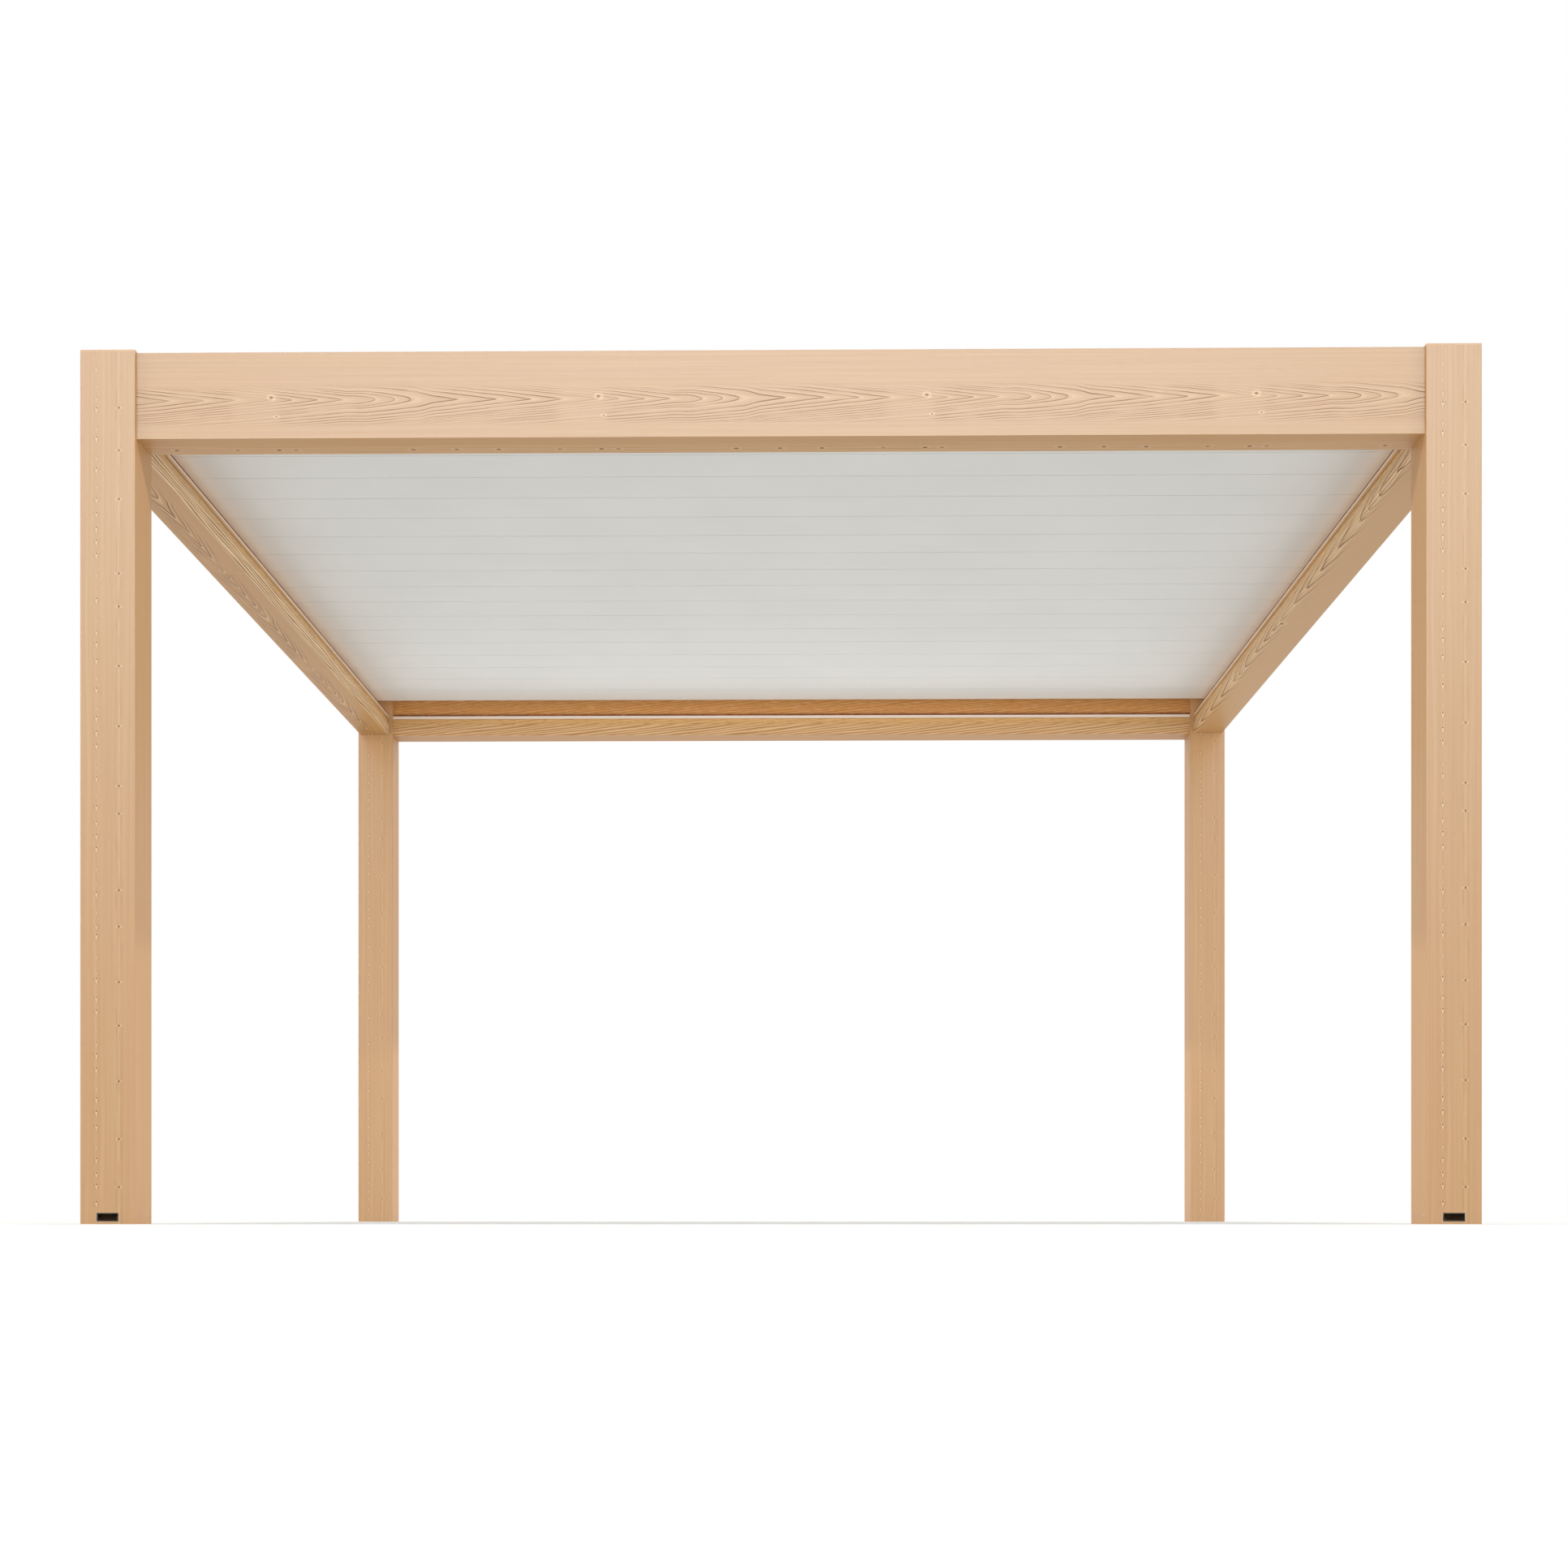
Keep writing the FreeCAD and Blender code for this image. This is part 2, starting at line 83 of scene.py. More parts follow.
camera = bpy.data.objects.new("camera", bpy.data.cameras.new("camera"))
camera.data.sensor_width = SENSOR_MM
camera.data.lens = LENS_MM
camera.data.shift_y = (HORIZON_PIXEL - FRAME_PIXELS / 2) / FRAME_PIXELS
camera.data.clip_end = VIEW_REACH
camera.location = CAMERA_PLACE
camera.rotation_euler = (math.radians(90), 0, CAMERA_TURN)
bpy.context.scene.collection.objects.link(camera)
bpy.context.scene.camera = camera
bpy.context.scene.view_settings.view_transform = "Standard"
print("camera shift:", round(camera.data.shift_y, 4))

# %% [markdown]
# ## Shader maths as plain Python
# A procedural finish is mostly arithmetic on a point's coordinates. Wiring each Math node
# by hand hides the formula, so a small class wraps a node's output and lets Python's own
# signs add the nodes. Anything that isn't arithmetic comes from one method, `node`.

# %% A value


class Value:
    """A number or colour that a material works out at each point of a surface."""

    def __init__(self, finish, socket):
        self.finish = finish
        self.socket = socket

    def math(self, operation, *others):
        settings = {"operation": operation}
        return self.finish.node("ShaderNodeMath", settings, dict(enumerate((self, *others))))

    def __add__(self, other):
        return self.math("ADD", other)

    def __sub__(self, other):
        return self.math("SUBTRACT", other)

    def __rsub__(self, other):
        return self * -1 + other

    def __mul__(self, other):
        return self.math("MULTIPLY", other)

    def __truediv__(self, other):
        return self.math("DIVIDE", other)

    def __abs__(self):
        return self.math("ABSOLUTE")

    __radd__ = __add__
    __rmul__ = __mul__

    def root(self):
        return self.math("SQRT")

    def fraction(self):
        return self.math("FRACT")

    def rise(self, low, high):
        """0 below low, 1 above high and a smooth slope between them."""
        settings = {"interpolation_type": "SMOOTHSTEP"}
        inputs = {"Value": self, "From Min": low, "From Max": high}
        return self.finish.node("ShaderNodeMapRange", settings, inputs)


print("a value adds nodes for + - * / and abs")

# %% [markdown]
# ## A finish
# A finish is one material while it is being made. It reads each point's own coordinates, in metres,
# because they stay with the piece when the camera or the piece moves. Every finish ends in one
# Principled shader, which any renderer and an exported model can read.

# %% A finish


class Finish:
    """A material that is being made, with one method that adds any node."""

    def __init__(self, name):
        self.material = bpy.data.materials.new(name)
        self.material.use_nodes = True
        self.tree = self.material.node_tree
        self.tree.nodes.clear()

    def node(self, kind, settings=None, inputs=None, output=0):
        made = self.tree.nodes.new(kind)
        for name, setting in (settings or {}).items():
            if name == "points":
                self.set_points(made.mapping, setting)
            else:
                setattr(made, name, setting)
        for place, content in (inputs or {}).items():
            if isinstance(content, Value):
                self.tree.links.new(content.socket, made.inputs[place])
            else:
                made.inputs[place].default_value = content
        return Value(self, made.outputs[output])

    @staticmethod
    def set_points(mapping, points):
        """Sets a curve's points and joins them by straight runs."""
        curve = mapping.curves[0]
        while len(curve.points) < len(points):
            curve.points.new(1, 1)
        for point, place in zip(curve.points, points):
            point.location = place
            point.handle_type = "VECTOR"
        mapping.update()

    def point(self):
        """The point's own coordinates in metres, as one vector."""
        return self.node("ShaderNodeTexCoord", output="Object")

    def parts(self, vector):
        inputs = {"Vector": vector}
        return [self.node("ShaderNodeSeparateXYZ", None, inputs, axis) for axis in range(3)]

    def places(self):
        """The point's own coordinates in metres, as three values."""
        return self.parts(self.point())

    def noise(self, first, second, cycles, seed, detail=2):
        """Soft noise from about 0.2 to 0.8, with so many cycles a metre each way."""
        inputs = {0: first * cycles[0], 1: second * cycles[1], 2: seed}
        vector = self.node("ShaderNodeCombineXYZ", None, inputs)
        return self.grain(vector, 1, detail)

    def grain(self, vector, cycles, detail):
        """Soft noise with the same number of cycles a metre in every direction."""
        inputs = {"Vector": vector, "Scale": cycles, "Detail": detail}
        return self.node("ShaderNodeTexNoise", None, inputs)

    def mix(self, share, first, second):
        """Two colours mixed. This node's colours are inputs 6 and 7, and its colour output is 2."""
        settings = {"data_type": "RGBA"}
        return self.node("ShaderNodeMix", settings, {0: share, 6: first, 7: second}, 2)

    def bump(self, height, depth):
        """A normal for small relief, whose height runs from 0 to 1 over depth in metres."""
        return self.node("ShaderNodeBump", None, {"Height": height, "Distance": depth})

    def show(self, shader):
        """Makes a shader the one that the surface shows."""
        surface = self.tree.nodes.new("ShaderNodeOutputMaterial")
        self.tree.links.new(shader.socket, surface.inputs["Surface"])
        return self.material

    def close(self, plain=None, **varying):
        """Ends the material in one Principled shader."""
        inputs = dict(plain or {})
        inputs.update({name.replace("_", " "): content for name, content in varying.items()})
        return self.show(self.node("ShaderNodeBsdfPrincipled", None, inputs))


def colour(red, green, blue):
    """A colour as a paint chart gives it, from 0 to 255, in the linear form shaders use."""
    def linear(part):
        part = part / 255
        return part / 12.92 if part <= 0.04045 else ((part + 0.055) / 1.055) ** 2.4
    return (linear(red), linear(green), linear(blue), 1)


def tone(shown, factor, lift=0.0):
    """The same colour darker or paler by a factor, and lifted by a small amount."""
    return tuple(min(1, part * factor + lift) for part in shown[:3]) + (1,)


print("mid grey in linear form:", round(colour(128, 128, 128)[0], 3))

# %% [markdown]
# ## Studio
# Plain light shows a colour about as it was written. A pale world does most of the work:
# it could be a sky image, but an even white has no colour of its own to lend. To the
# camera, to reflections and through glass the world is full white, and for lighting it is
# weaker, so the background is white without more light on the veranda.

# %% World
WORLD_STRENGTH = 0.72
SEEN_STRENGTH = 1
WHITE = (1, 1, 1, 1)


def adder(tree):
    """A function that adds a node to a tree, with its settings and inputs."""
    def node(kind, settings=None, inputs=None):
        made = tree.nodes.new(kind)
        for name, setting in (settings or {}).items():
            setattr(made, name, setting)
        for place, content in (inputs or {}).items():
            if isinstance(content, bpy.types.NodeSocket):
                tree.links.new(content, made.inputs[place])
            else:
                made.inputs[place].default_value = content
        return made.outputs
    return node


world = bpy.data.worlds.new("studio")
bpy.context.scene.world = world
world.use_nodes = True
world.node_tree.nodes.clear()
add_world = adder(world.node_tree)
rays = add_world("ShaderNodeLightPath")
fill = add_world("ShaderNodeBackground", None, {"Color": WHITE, "Strength": WORLD_STRENGTH})
white = add_world("ShaderNodeBackground", None, {"Color": WHITE, "Strength": SEEN_STRENGTH})
either = add_world("ShaderNodeMath", {"operation": "MAXIMUM"},
                   {0: rays["Is Camera Ray"], 1: rays["Is Glossy Ray"]})
seen = add_world("ShaderNodeMath", {"operation": "MAXIMUM"},
                 {0: either[0], 1: rays["Is Transmission Ray"]})
blend = add_world("ShaderNodeMixShader", None, {0: seen[0], 1: fill[0], 2: white[0]})
add_world("ShaderNodeOutputWorld", None, {"Surface": blend[0]})
print("world:", WORLD_STRENGTH)

# %% [markdown]
# ## Four suns
# Outdoors, the light under a roof comes in low from all sides. Four weak suns, one over
# each corner, stand for it and give the short slanting shadows that the beams cast on the
# posts. One strong sun would paint a single long shadow and leave two sides dark.

# %% Four suns
FRONT, BACK = -1, 1
SUN_STRENGTHS = {FRONT: 0.80, BACK: 0.51}
SUN_SOFTNESS = 1
SUN_SIDEWAYS = 3.0
SUN_HEIGHT = 1.13


def add_light(name, kind, strength, turn, place=(0, 0, 0), **settings):
    """A lamp that lights the object and isn't seen itself."""
    light = bpy.data.lights.new(name, kind)
    light.energy = strength
    for setting, content in settings.items():
        setattr(light, setting, content)
    lamp = bpy.data.objects.new(name, light)
    lamp.rotation_euler = turn
    lamp.location = place
    lamp.visible_camera = False
    bpy.context.scene.collection.objects.link(lamp)
    return lamp


sun_lean = math.atan2(math.hypot(SUN_SIDEWAYS, 1), SUN_HEIGHT)
for side in (-1, 1):
    for end in (FRONT, BACK):
        heading = math.atan2(end, side * SUN_SIDEWAYS) + math.radians(90)
        add_light(f"sun_{side}_{end}", "SUN", SUN_STRENGTHS[end], (sun_lean, 0, heading),
                  angle=math.radians(SUN_SOFTNESS))
print("suns:", len(bpy.data.lights))

# %% [markdown]
# ## Sheen and fills
# Satin faces that look at a bright sky show a pale cool sheen, strongest high up. A high
# panel in front gives it. It reaches glossy rays alone, so it adds nothing to a matt
# surface. Low wide fills far out in front and to both sides reach the faces under the
# roof, and two small ones, behind and inside, reach its far end. They are hidden from
# glossy rays, or satin faces would mirror them as bright bars.

# %% Sheen and fills
SHEEN_WATTS = 1800
SHEEN_COLOUR = (0.70, 0.86, 1.0)
SHEEN_PLACE = (0, -9.8, 5.6)
SHEEN_AIM = 1.8
SHEEN_SIZE = (11, 3.2)
LOW_FILLS = {"front": (1120, 0), "left": (820, -90), "right": (800, 90)}
FILL_DISTANCE = 20
FILL_HEIGHT = 1.15
FILL_SIZE = (30, 2)
ROOF_FILL_WATTS = 36
ROOF_FILL_PLACE = (0, 5.2, 0.3)
ROOF_FILL_AIM = (0, 1.0, 2.4)
ROOF_FILL_SIZE = (6, 1.2)
INNER_FILL_WATTS = 8
INNER_FILL_PLACE = (0, -1.5, 0.25)
INNER_FILL_LEAN = 105
INNER_FILL_SIZE = (3.6, 0.3)
INNER_FILL_SPREAD = 65


def add_panel(name, watts, turn, place, size, glossy=False, **settings):
    """A rectangular lamp. Reflections show it only if it is glossy."""
    panel = add_light(name, "AREA", watts, turn, place, shape="RECTANGLE",
                      size=size[0], size_y=size[1], **settings)
    panel.visible_glossy = glossy
    return panel


front_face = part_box("beam_front")[0].y
sheen_lean = math.atan2(front_face - SHEEN_PLACE[1], SHEEN_PLACE[2] - SHEEN_AIM)
sheen = add_panel("sheen_panel", SHEEN_WATTS, (sheen_lean, 0, 0), SHEEN_PLACE, SHEEN_SIZE,
                  glossy=True, color=SHEEN_COLOUR)
sheen.visible_diffuse = False
for name, (watts, degrees) in LOW_FILLS.items():
    turn = math.radians(degrees)
    place = (FILL_DISTANCE * math.sin(turn), -FILL_DISTANCE * math.cos(turn), FILL_HEIGHT)
    add_panel("low_fill_" + name, watts, (math.radians(90), 0, turn), place, FILL_SIZE)
roof_lean = math.atan2(ROOF_FILL_PLACE[1] - ROOF_FILL_AIM[1], ROOF_FILL_PLACE[2] - ROOF_FILL_AIM[2])
add_panel("roof_fill", ROOF_FILL_WATTS, (-roof_lean, 0, 0), ROOF_FILL_PLACE, ROOF_FILL_SIZE)
add_panel("inner_fill", INNER_FILL_WATTS, (math.radians(INNER_FILL_LEAN), 0, 0), INNER_FILL_PLACE,
          INNER_FILL_SIZE, spread=math.radians(INNER_FILL_SPREAD))
print("lights:", len(bpy.data.lights))

# %% [markdown]
# ## Strip lamps
# The real strips along the inner faces are lit: they look warm against the roof and put a
# faint warm edge on the blades beside them. A narrow lamp above each strip does that, as
# the strip's own glow is too weak to light anything.

# %% Strip lamps
SIDE_STRIP_WATTS = 0.42
END_STRIP_WATTS = 0.2
STRIP_LAMP_WIDTH = 0.03
STRIP_LAMP_RISE = 0.012
STRIP_WARMTH = (1.0, 0.66, 0.40)
STRIP_OUTWARD = 0.02

strip_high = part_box("led_strips")[1]
row_x = strip_high.x + STRIP_OUTWARD
row_y = strip_high.y - STRIP_OUTWARD
strip_rows = {
    "left": (-row_x, 0, 90, SIDE_STRIP_WATTS),
    "right": (row_x, 0, 90, SIDE_STRIP_WATTS),
    "front": (0, -row_y, 0, END_STRIP_WATTS),
    "back": (0, row_y, 0, END_STRIP_WATTS),
}
row_length = 2 * min(strip_high.x, strip_high.y)
for name, (x, y, degrees, watts) in strip_rows.items():
    add_panel("strip_lamp_" + name, watts, (math.radians(180), 0, math.radians(degrees)),
              (x, y, strip_high.z + STRIP_LAMP_RISE), (row_length, STRIP_LAMP_WIDTH),
              color=STRIP_WARMTH)
print("strip lamps:", len(strip_rows), "length:", round(row_length, 3))

# %% [markdown]
# ## Floor
# The floor is pale paint that takes the object's shadow. Seen by the camera it also glows faintly, so
# that it ends in the white of the background. The glow stops where the roof begins, so the shade on the
# ground under the roof still shows, and the missing glow paints that ground darker than its shade
# alone.

# %% Floor
FLOOR_REACH = 60
FLOOR_PAINT = colour(226, 226, 225)
FLOOR_GLOW = 0.25
SHADE_EDGE = 0.35

floor_mesh = bpy.data.meshes.new("floor")
corners = [(x * FLOOR_REACH, y * FLOOR_REACH, 0) for x, y in ((-1, -1), (1, -1), (1, 1), (-1, 1))]
floor_mesh.from_pydata(corners, [], [(0, 1, 2, 3)])
floor = bpy.data.objects.new("floor", floor_mesh)
bpy.context.scene.collection.objects.link(floor)

floor_finish = Finish("floor_white")
paint = floor_finish.node("ShaderNodeBsdfDiffuse", None, {"Color": FLOOR_PAINT})
seen_rays = [floor_finish.node("ShaderNodeLightPath", output=ray + " Ray")
             for ray in ("Is Camera", "Is Glossy", "Is Transmission")]
shown = seen_rays[0].math("MAXIMUM", seen_rays[1]).math("MAXIMUM", seen_rays[2])
floor_x, floor_y = floor_finish.places()[:2]
from_middle = abs(floor_x).math("MAXIMUM", abs(floor_y))
roof_edge = cad_box[1][0]
# Painted shade: the glow fades out over the roof's footprint, so the ground there is darker.
outside = from_middle.rise(roof_edge - SHADE_EDGE, roof_edge + SHADE_EDGE)
glow = floor_finish.node("ShaderNodeEmission", None, {"Strength": shown * outside * FLOOR_GLOW})
glowing_paint = floor_finish.node("ShaderNodeAddShader", None, {0: paint, 1: glow})
floor_mesh.materials.append(floor_finish.show(glowing_paint))
print("floor:", FLOOR_REACH * 2, "m")

# %% [markdown]
# ## Wood-look film
# The posts and beams are wrapped in a film printed with softwood: long growth rings that
# close in nested Vs, crowded lines beside them, small knots and a fine grain. An image
# would do, but a formula never runs out of resolution. A ring is a line of equal height
# on a long ridge, so the Vs are the level lines of "place along the grain plus a height
# that rises to both sides". The print repeats, and its rings are unevenly spaced, which a
# curve with one point for each ring sets.

# %% Growth rings
PRINT_LENGTH = 0.939
RING_PLACES = (0.056, 0.130, 0.201, 0.296, 0.354, 0.399, 0.531, 0.642, 0.741, 0.829)
RING_SPACES = len(RING_PLACES) + 1
MEAN_RING = PRINT_LENGTH / RING_SPACES
RING_LINE = 0.0015
LINE_PLACE = 0.90
RIDGE_SLOPE = 7.0
RIDGE_BEND = 50
SHARP_TIP = 0.0012
ROUND_TIP = 0.012
ROUND_STRETCH = (0.22, 0.30, 0.44, 0.50)
# Each noise: its cycles a metre along the grain and across it, then how far it moves a ring.
WANDER = (2.2, 3)
SIDE_WANDER = 0.012
RIPPLE = (30, 60)
SIDE_RIPPLE = 0.002
HILL_RIPPLE = 0.008
JITTER = (90, 200)
HILL_JITTER = 0.003


def tip_radius(along):
    """How round the Vs are: sharp over most of the print and blunt over one stretch."""
    place = (along / PRINT_LENGTH).fraction()
    low, rounded, still, end = ROUND_STRETCH
    blunt = place.rise(low, rounded) * (1 - place.rise(still, end))
    return blunt * (ROUND_TIP - SHARP_TIP) + SHARP_TIP


def ring_number(finish, hill):
    """The height as a number of rings, through a curve with a point for each ring."""
    points = [(0, 0)]
    for number, place in enumerate(RING_PLACES, 1):
        points.append((place / PRINT_LENGTH, number / RING_SPACES))
    points.append((1, 1))
    turn = (hill / PRINT_LENGTH).fraction()
    ring = finish.node("ShaderNodeFloatCurve", {"points": points}, {"Value": turn})
    return ring * RING_SPACES


def add_rings(finish, along, across, seed):
    """Nested Vs that point along the grain: their lines, a soft shade and a pale rim."""
    wander = finish.noise(along, across, WANDER, seed) - 0.5
    ripple = finish.noise(along, across, RIPPLE, seed + 3, 3) - 0.5
    jitter = finish.noise(along, across, JITTER, seed + 5, 1) - 0.5
    offset = across + wander * SIDE_WANDER + ripple * SIDE_RIPPLE
    tip = tip_radius(along)
    reach = (offset * offset + tip * tip).root()
    hill = along + (reach - tip) * RIDGE_SLOPE + offset * offset * RIDGE_BEND
    hill = hill + ripple * HILL_RIPPLE + jitter * HILL_JITTER
    steep = offset * RIDGE_SLOPE / reach + offset * (2 * RIDGE_BEND)
    slope = (steep * steep + 1).root()
    climb = (ring_number(finish, hill) + (LINE_PLACE - 1)).fraction()
    away = abs(climb - LINE_PLACE) * MEAN_RING / slope
    line = 1 - away.rise(RING_LINE * 0.25, RING_LINE * 1.6)
    shade = climb.rise(0.45, LINE_PLACE) * (1 - climb.rise(LINE_PLACE, LINE_PLACE + 0.03))
    rim = 1 - climb.rise(0, 0.4)
    return line, shade, rim, offset


print("rings in one print:", len(RING_PLACES))

# %% [markdown]
# ## Knots
# A knot is the cut through a small branch: a dark core with a paler ring of grain about
# it, drawn out along the wood. It comes once in each print, at a place of its own, so the
# distance is measured to the nearest repeat of that place.

# %% Knots
KNOT_SQUASH = 0.5


def add_knot(finish, along, across, place, side, radius):
    """A small dark knot once in each print, and the paler ring about it."""
    step = (along - place) / PRINT_LENGTH
    ahead = (step - step.math("ROUND")) * PRINT_LENGTH
    beside = across - side
    away = (ahead * ahead * KNOT_SQUASH + beside * beside).root()
    core = 1 - away.rise(radius * 0.5, radius * 1.5)
    halo = away.rise(radius, radius * 2) * (1 - away.rise(radius * 2, radius * 4))
    return core, halo


print("knots repeat every", PRINT_LENGTH, "m")

# %% [markdown]
# ## Dots, wings and lines
# Where the printed wood was cut close to the heart, its rings shrink to a column of dark
# points, each with a pale drop behind it, or to knots with pale wings. Where it was cut
# far from the heart, the rings are parallel lines. Each is one more repeating formula.

# %% Cells and dots
ARROW_SPACING = 0.042
ARROW_SIZE = 0.0023
DROP_LENGTH = 9
DROP_TAPER = 0.28
DROP_EDGE = 0.26


def cells(finish, along, spacing, seed):
    """Cells along the grain: metres from a place inside each, and its random number."""
    step = along / spacing
    number = step.math("FLOOR")
    vector = finish.node("ShaderNodeCombineXYZ", None, {0: number, 1: seed})
    chance = finish.node("ShaderNodeTexWhiteNoise", {"noise_dimensions": "3D"}, {0: vector})
    return (step - number - 0.5 - (chance - 0.5) * 0.5) * spacing, chance


def add_arrows(finish, along, across, seed):
    """A column of dark points, each with a pale drop and its darker edge behind it."""
    size = ARROW_SIZE
    ahead, chance = cells(finish, along, ARROW_SPACING, seed)
    beside = abs(across)
    strong = chance.rise(0.1, 0.6) * 0.7 + 0.3
    away = (ahead * ahead + beside * beside).root()
    point = (1 - away.rise(size * 0.4, size * 1.5)) * strong
    start = size * -DROP_LENGTH
    taper = (ahead - start) * DROP_TAPER
    drop = (1 - (beside / taper).rise(0.2, 1)) * ahead.rise(start, start * 0.5)
    drop = drop * (1 - ahead.rise(size * 0.5, size * 2)) * strong
    edge = (1 - abs(beside - taper - size * 0.6).rise(0, size)) * ahead.rise(start, start * 0.5)
    edge = edge * (1 - ahead.rise(0, size * 2))
    return point + edge * DROP_EDGE * strong, drop


print("arrows every", ARROW_SPACING, "m")

# %% [markdown]
# A winged knot is a dark point with a pale wing to each side, on a pale ribbon between two
# darker ones. It could be a picture set down again and again, but it uses the same cells
# as the arrows, so only the shape inside a cell is new.

# %% Winged knots
EYE_SPACING = 0.152
EYE_SIZE = 0.0028
RIBBON_FADE = (11, 90)
FLANK_SHARE = 0.16
RIBBON_SHARE = 0.32


def add_eyes(finish, along, across, seed):
    """A column of knots with pale wings, on a pale ribbon between two darker ones."""
    size = EYE_SIZE
    ahead = cells(finish, along, EYE_SPACING, seed)[0]
    beside = abs(across)
    away = (ahead * ahead + beside * beside).root()
    point = 1 - away.rise(size * 0.4, size * 1.5)
    wings = (1 - abs(ahead).rise(size * 0.4, size * 1.6)) * beside.rise(size * 0.8, size * 1.6)
    wings = wings * (1 - beside.rise(size * 2, size * 4.5))
    fade = finish.noise(along, across, RIBBON_FADE, seed + 2)
    ribbon = (1 - beside.rise(size, size * 2)) * fade.rise(0.35, 0.6)
    flank = beside.rise(size, size * 2) * (1 - beside.rise(size * 2.4, size * 4))
    return point + flank * fade.rise(0.4, 0.7) * FLANK_SHARE, wings + ribbon * RIBBON_SHARE


print("winged knots every", EYE_SPACING, "m")

# %% [markdown]
# Lines could be straight stripes, but growth lines waver together and break off. One slow
# noise sways them all, a finer one shakes them, and a third one breaks them.

# %% Parallel lines
LINE_WANDER = (1.6, 24)
LINE_SWAY = 0.030
LINE_RIPPLE = (24, 30)
LINE_SHAKE = 0.0024
LINE_BREAKS = (3.5, 120)


def add_lines(finish, along, across, seed, spacing):
    """Parallel growth lines far from the heart, wavering together."""
    wander = finish.noise(along, across, LINE_WANDER, seed) - 0.5
    ripple = finish.noise(along, across, LINE_RIPPLE, seed + 3) - 0.5
    step = ((across + wander * LINE_SWAY + ripple * LINE_SHAKE) / spacing).fraction()
    broken = finish.noise(along, across, LINE_BREAKS, seed + 7).rise(0.3, 0.55)
    line = (1 - abs(step - 0.8).rise(0.03, 0.16)) * broken
    pale = step.rise(0, 0.12) * (1 - step.rise(0.25, 0.62))
    return line, pale


print("lines sway by", LINE_SWAY, "m")

# %% [markdown]
# ## The film itself
# Whatever a face shows, the film under it is the same: a tan ground with soft bands, fine
# streaks and pores, then the marks, in one satin surface. A mark is pressed in slightly,
# as on the real film, so it gets a trace of relief and is a little rougher.

# %% Film
WOOD = colour(182, 142, 95)
WOOD_LIGHT = colour(195, 159, 115)
# Cream: the print's pale marks, and painted light on the shaded inner faces.
CREAM_PRINT_AND_LIGHT = colour(229, 199, 158)
WOOD_ROSY = colour(184, 140, 98)
RING_BROWN = colour(130, 82, 22)
KNOT_BROWN = colour(88, 54, 28)
BANDS = (0.5, 22)
BAND_SHARE = 0.6
STREAKS = (1.3, 150)
STREAK_SHARE = 0.38
PORES = (22, 800)
PORE_SHARE = 0.13
FILM_ROUGHNESS = 0.46
MARK_ROUGHNESS = 0.08
FILM_RELIEF = 0.00008


def film(finish, along, across, dark, light, grounds=()):
    """The print's ground, other grounds over it, then its marks, in one satin surface."""
    bands = finish.noise(along, across, BANDS, 5).rise(0.35, 0.65)
    streaks = finish.noise(along, across, STREAKS, 9, 3).rise(0.3, 0.75)
    pores = finish.noise(along, across, PORES, 13, 1).rise(0.58, 0.75)
    base = finish.mix(bands * BAND_SHARE, WOOD, WOOD_ROSY)
    base = finish.mix(streaks * STREAK_SHARE, base, WOOD_LIGHT)
    base = finish.mix(pores * PORE_SHARE, base, RING_BROWN)
    for share, other in grounds:
        base = finish.mix(share, base, other)
    base = finish.mix(light, base, CREAM_PRINT_AND_LIGHT)
    base = finish.mix(dark, base, RING_BROWN)
    base = finish.mix(dark.rise(1.0, 1.4), base, KNOT_BROWN)
    relief = 1 - dark * 0.7 - pores * 0.3
    return finish.close(
        {"Specular IOR Level": 0.42},
        Base_Color=base,
        Roughness=dark * MARK_ROUGHNESS + FILM_ROUGHNESS,
        Normal=finish.bump(relief, FILM_RELIEF),
    )


print("film ready")

# %% [markdown]
# ## One film, several wraps
# Each profile shows another part of the print. The places across the grain are measured
# around the profile: up the outer face from its lower edge, and down from that edge across
# the underside and up the inner face, so that the grain runs over the edges as a film does.
# A beam's outer face and one underside show the heart: the nested Vs with a calm stretch
# between two sets of them, where the knots sit.

# %% Around a beam
INNER_DEPTH = (0.10, 0.11)
CALM_END = (0.85, 0.90)
CALM_START = (0, 0.05)
CALM_SHARE = 0.7
PATCHY = (9, 30)
RIM_SHARE = 2.4
HEART_FADE = 0.02
# Each knot: its place along the print, its place beside the heart and its radius.
LARGE_KNOT = (0, 0.007, 0.0032)
SMALL_KNOT = (0.015, -0.048, 0.002)
LARGE_SHARE = 0.9
SMALL_SHARE = 0.7
HALO_SHARE = 0.3


def around_beam(finish, side):
    """Coordinates along a beam and around its profile, with 0 at the outer lower edge."""
    x, y, z = finish.places()
    low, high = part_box("beam_" + side)
    inward = {"left": x - low.x, "right": high.x - x, "front": y - low.y, "back": high.y - y}
    along = y if side in ("left", "right") else x
    depth = inward[side]
    inner_face = depth.rise(*INNER_DEPTH)
    return along, (z - low.z) * (1 - 2 * inner_face) - depth


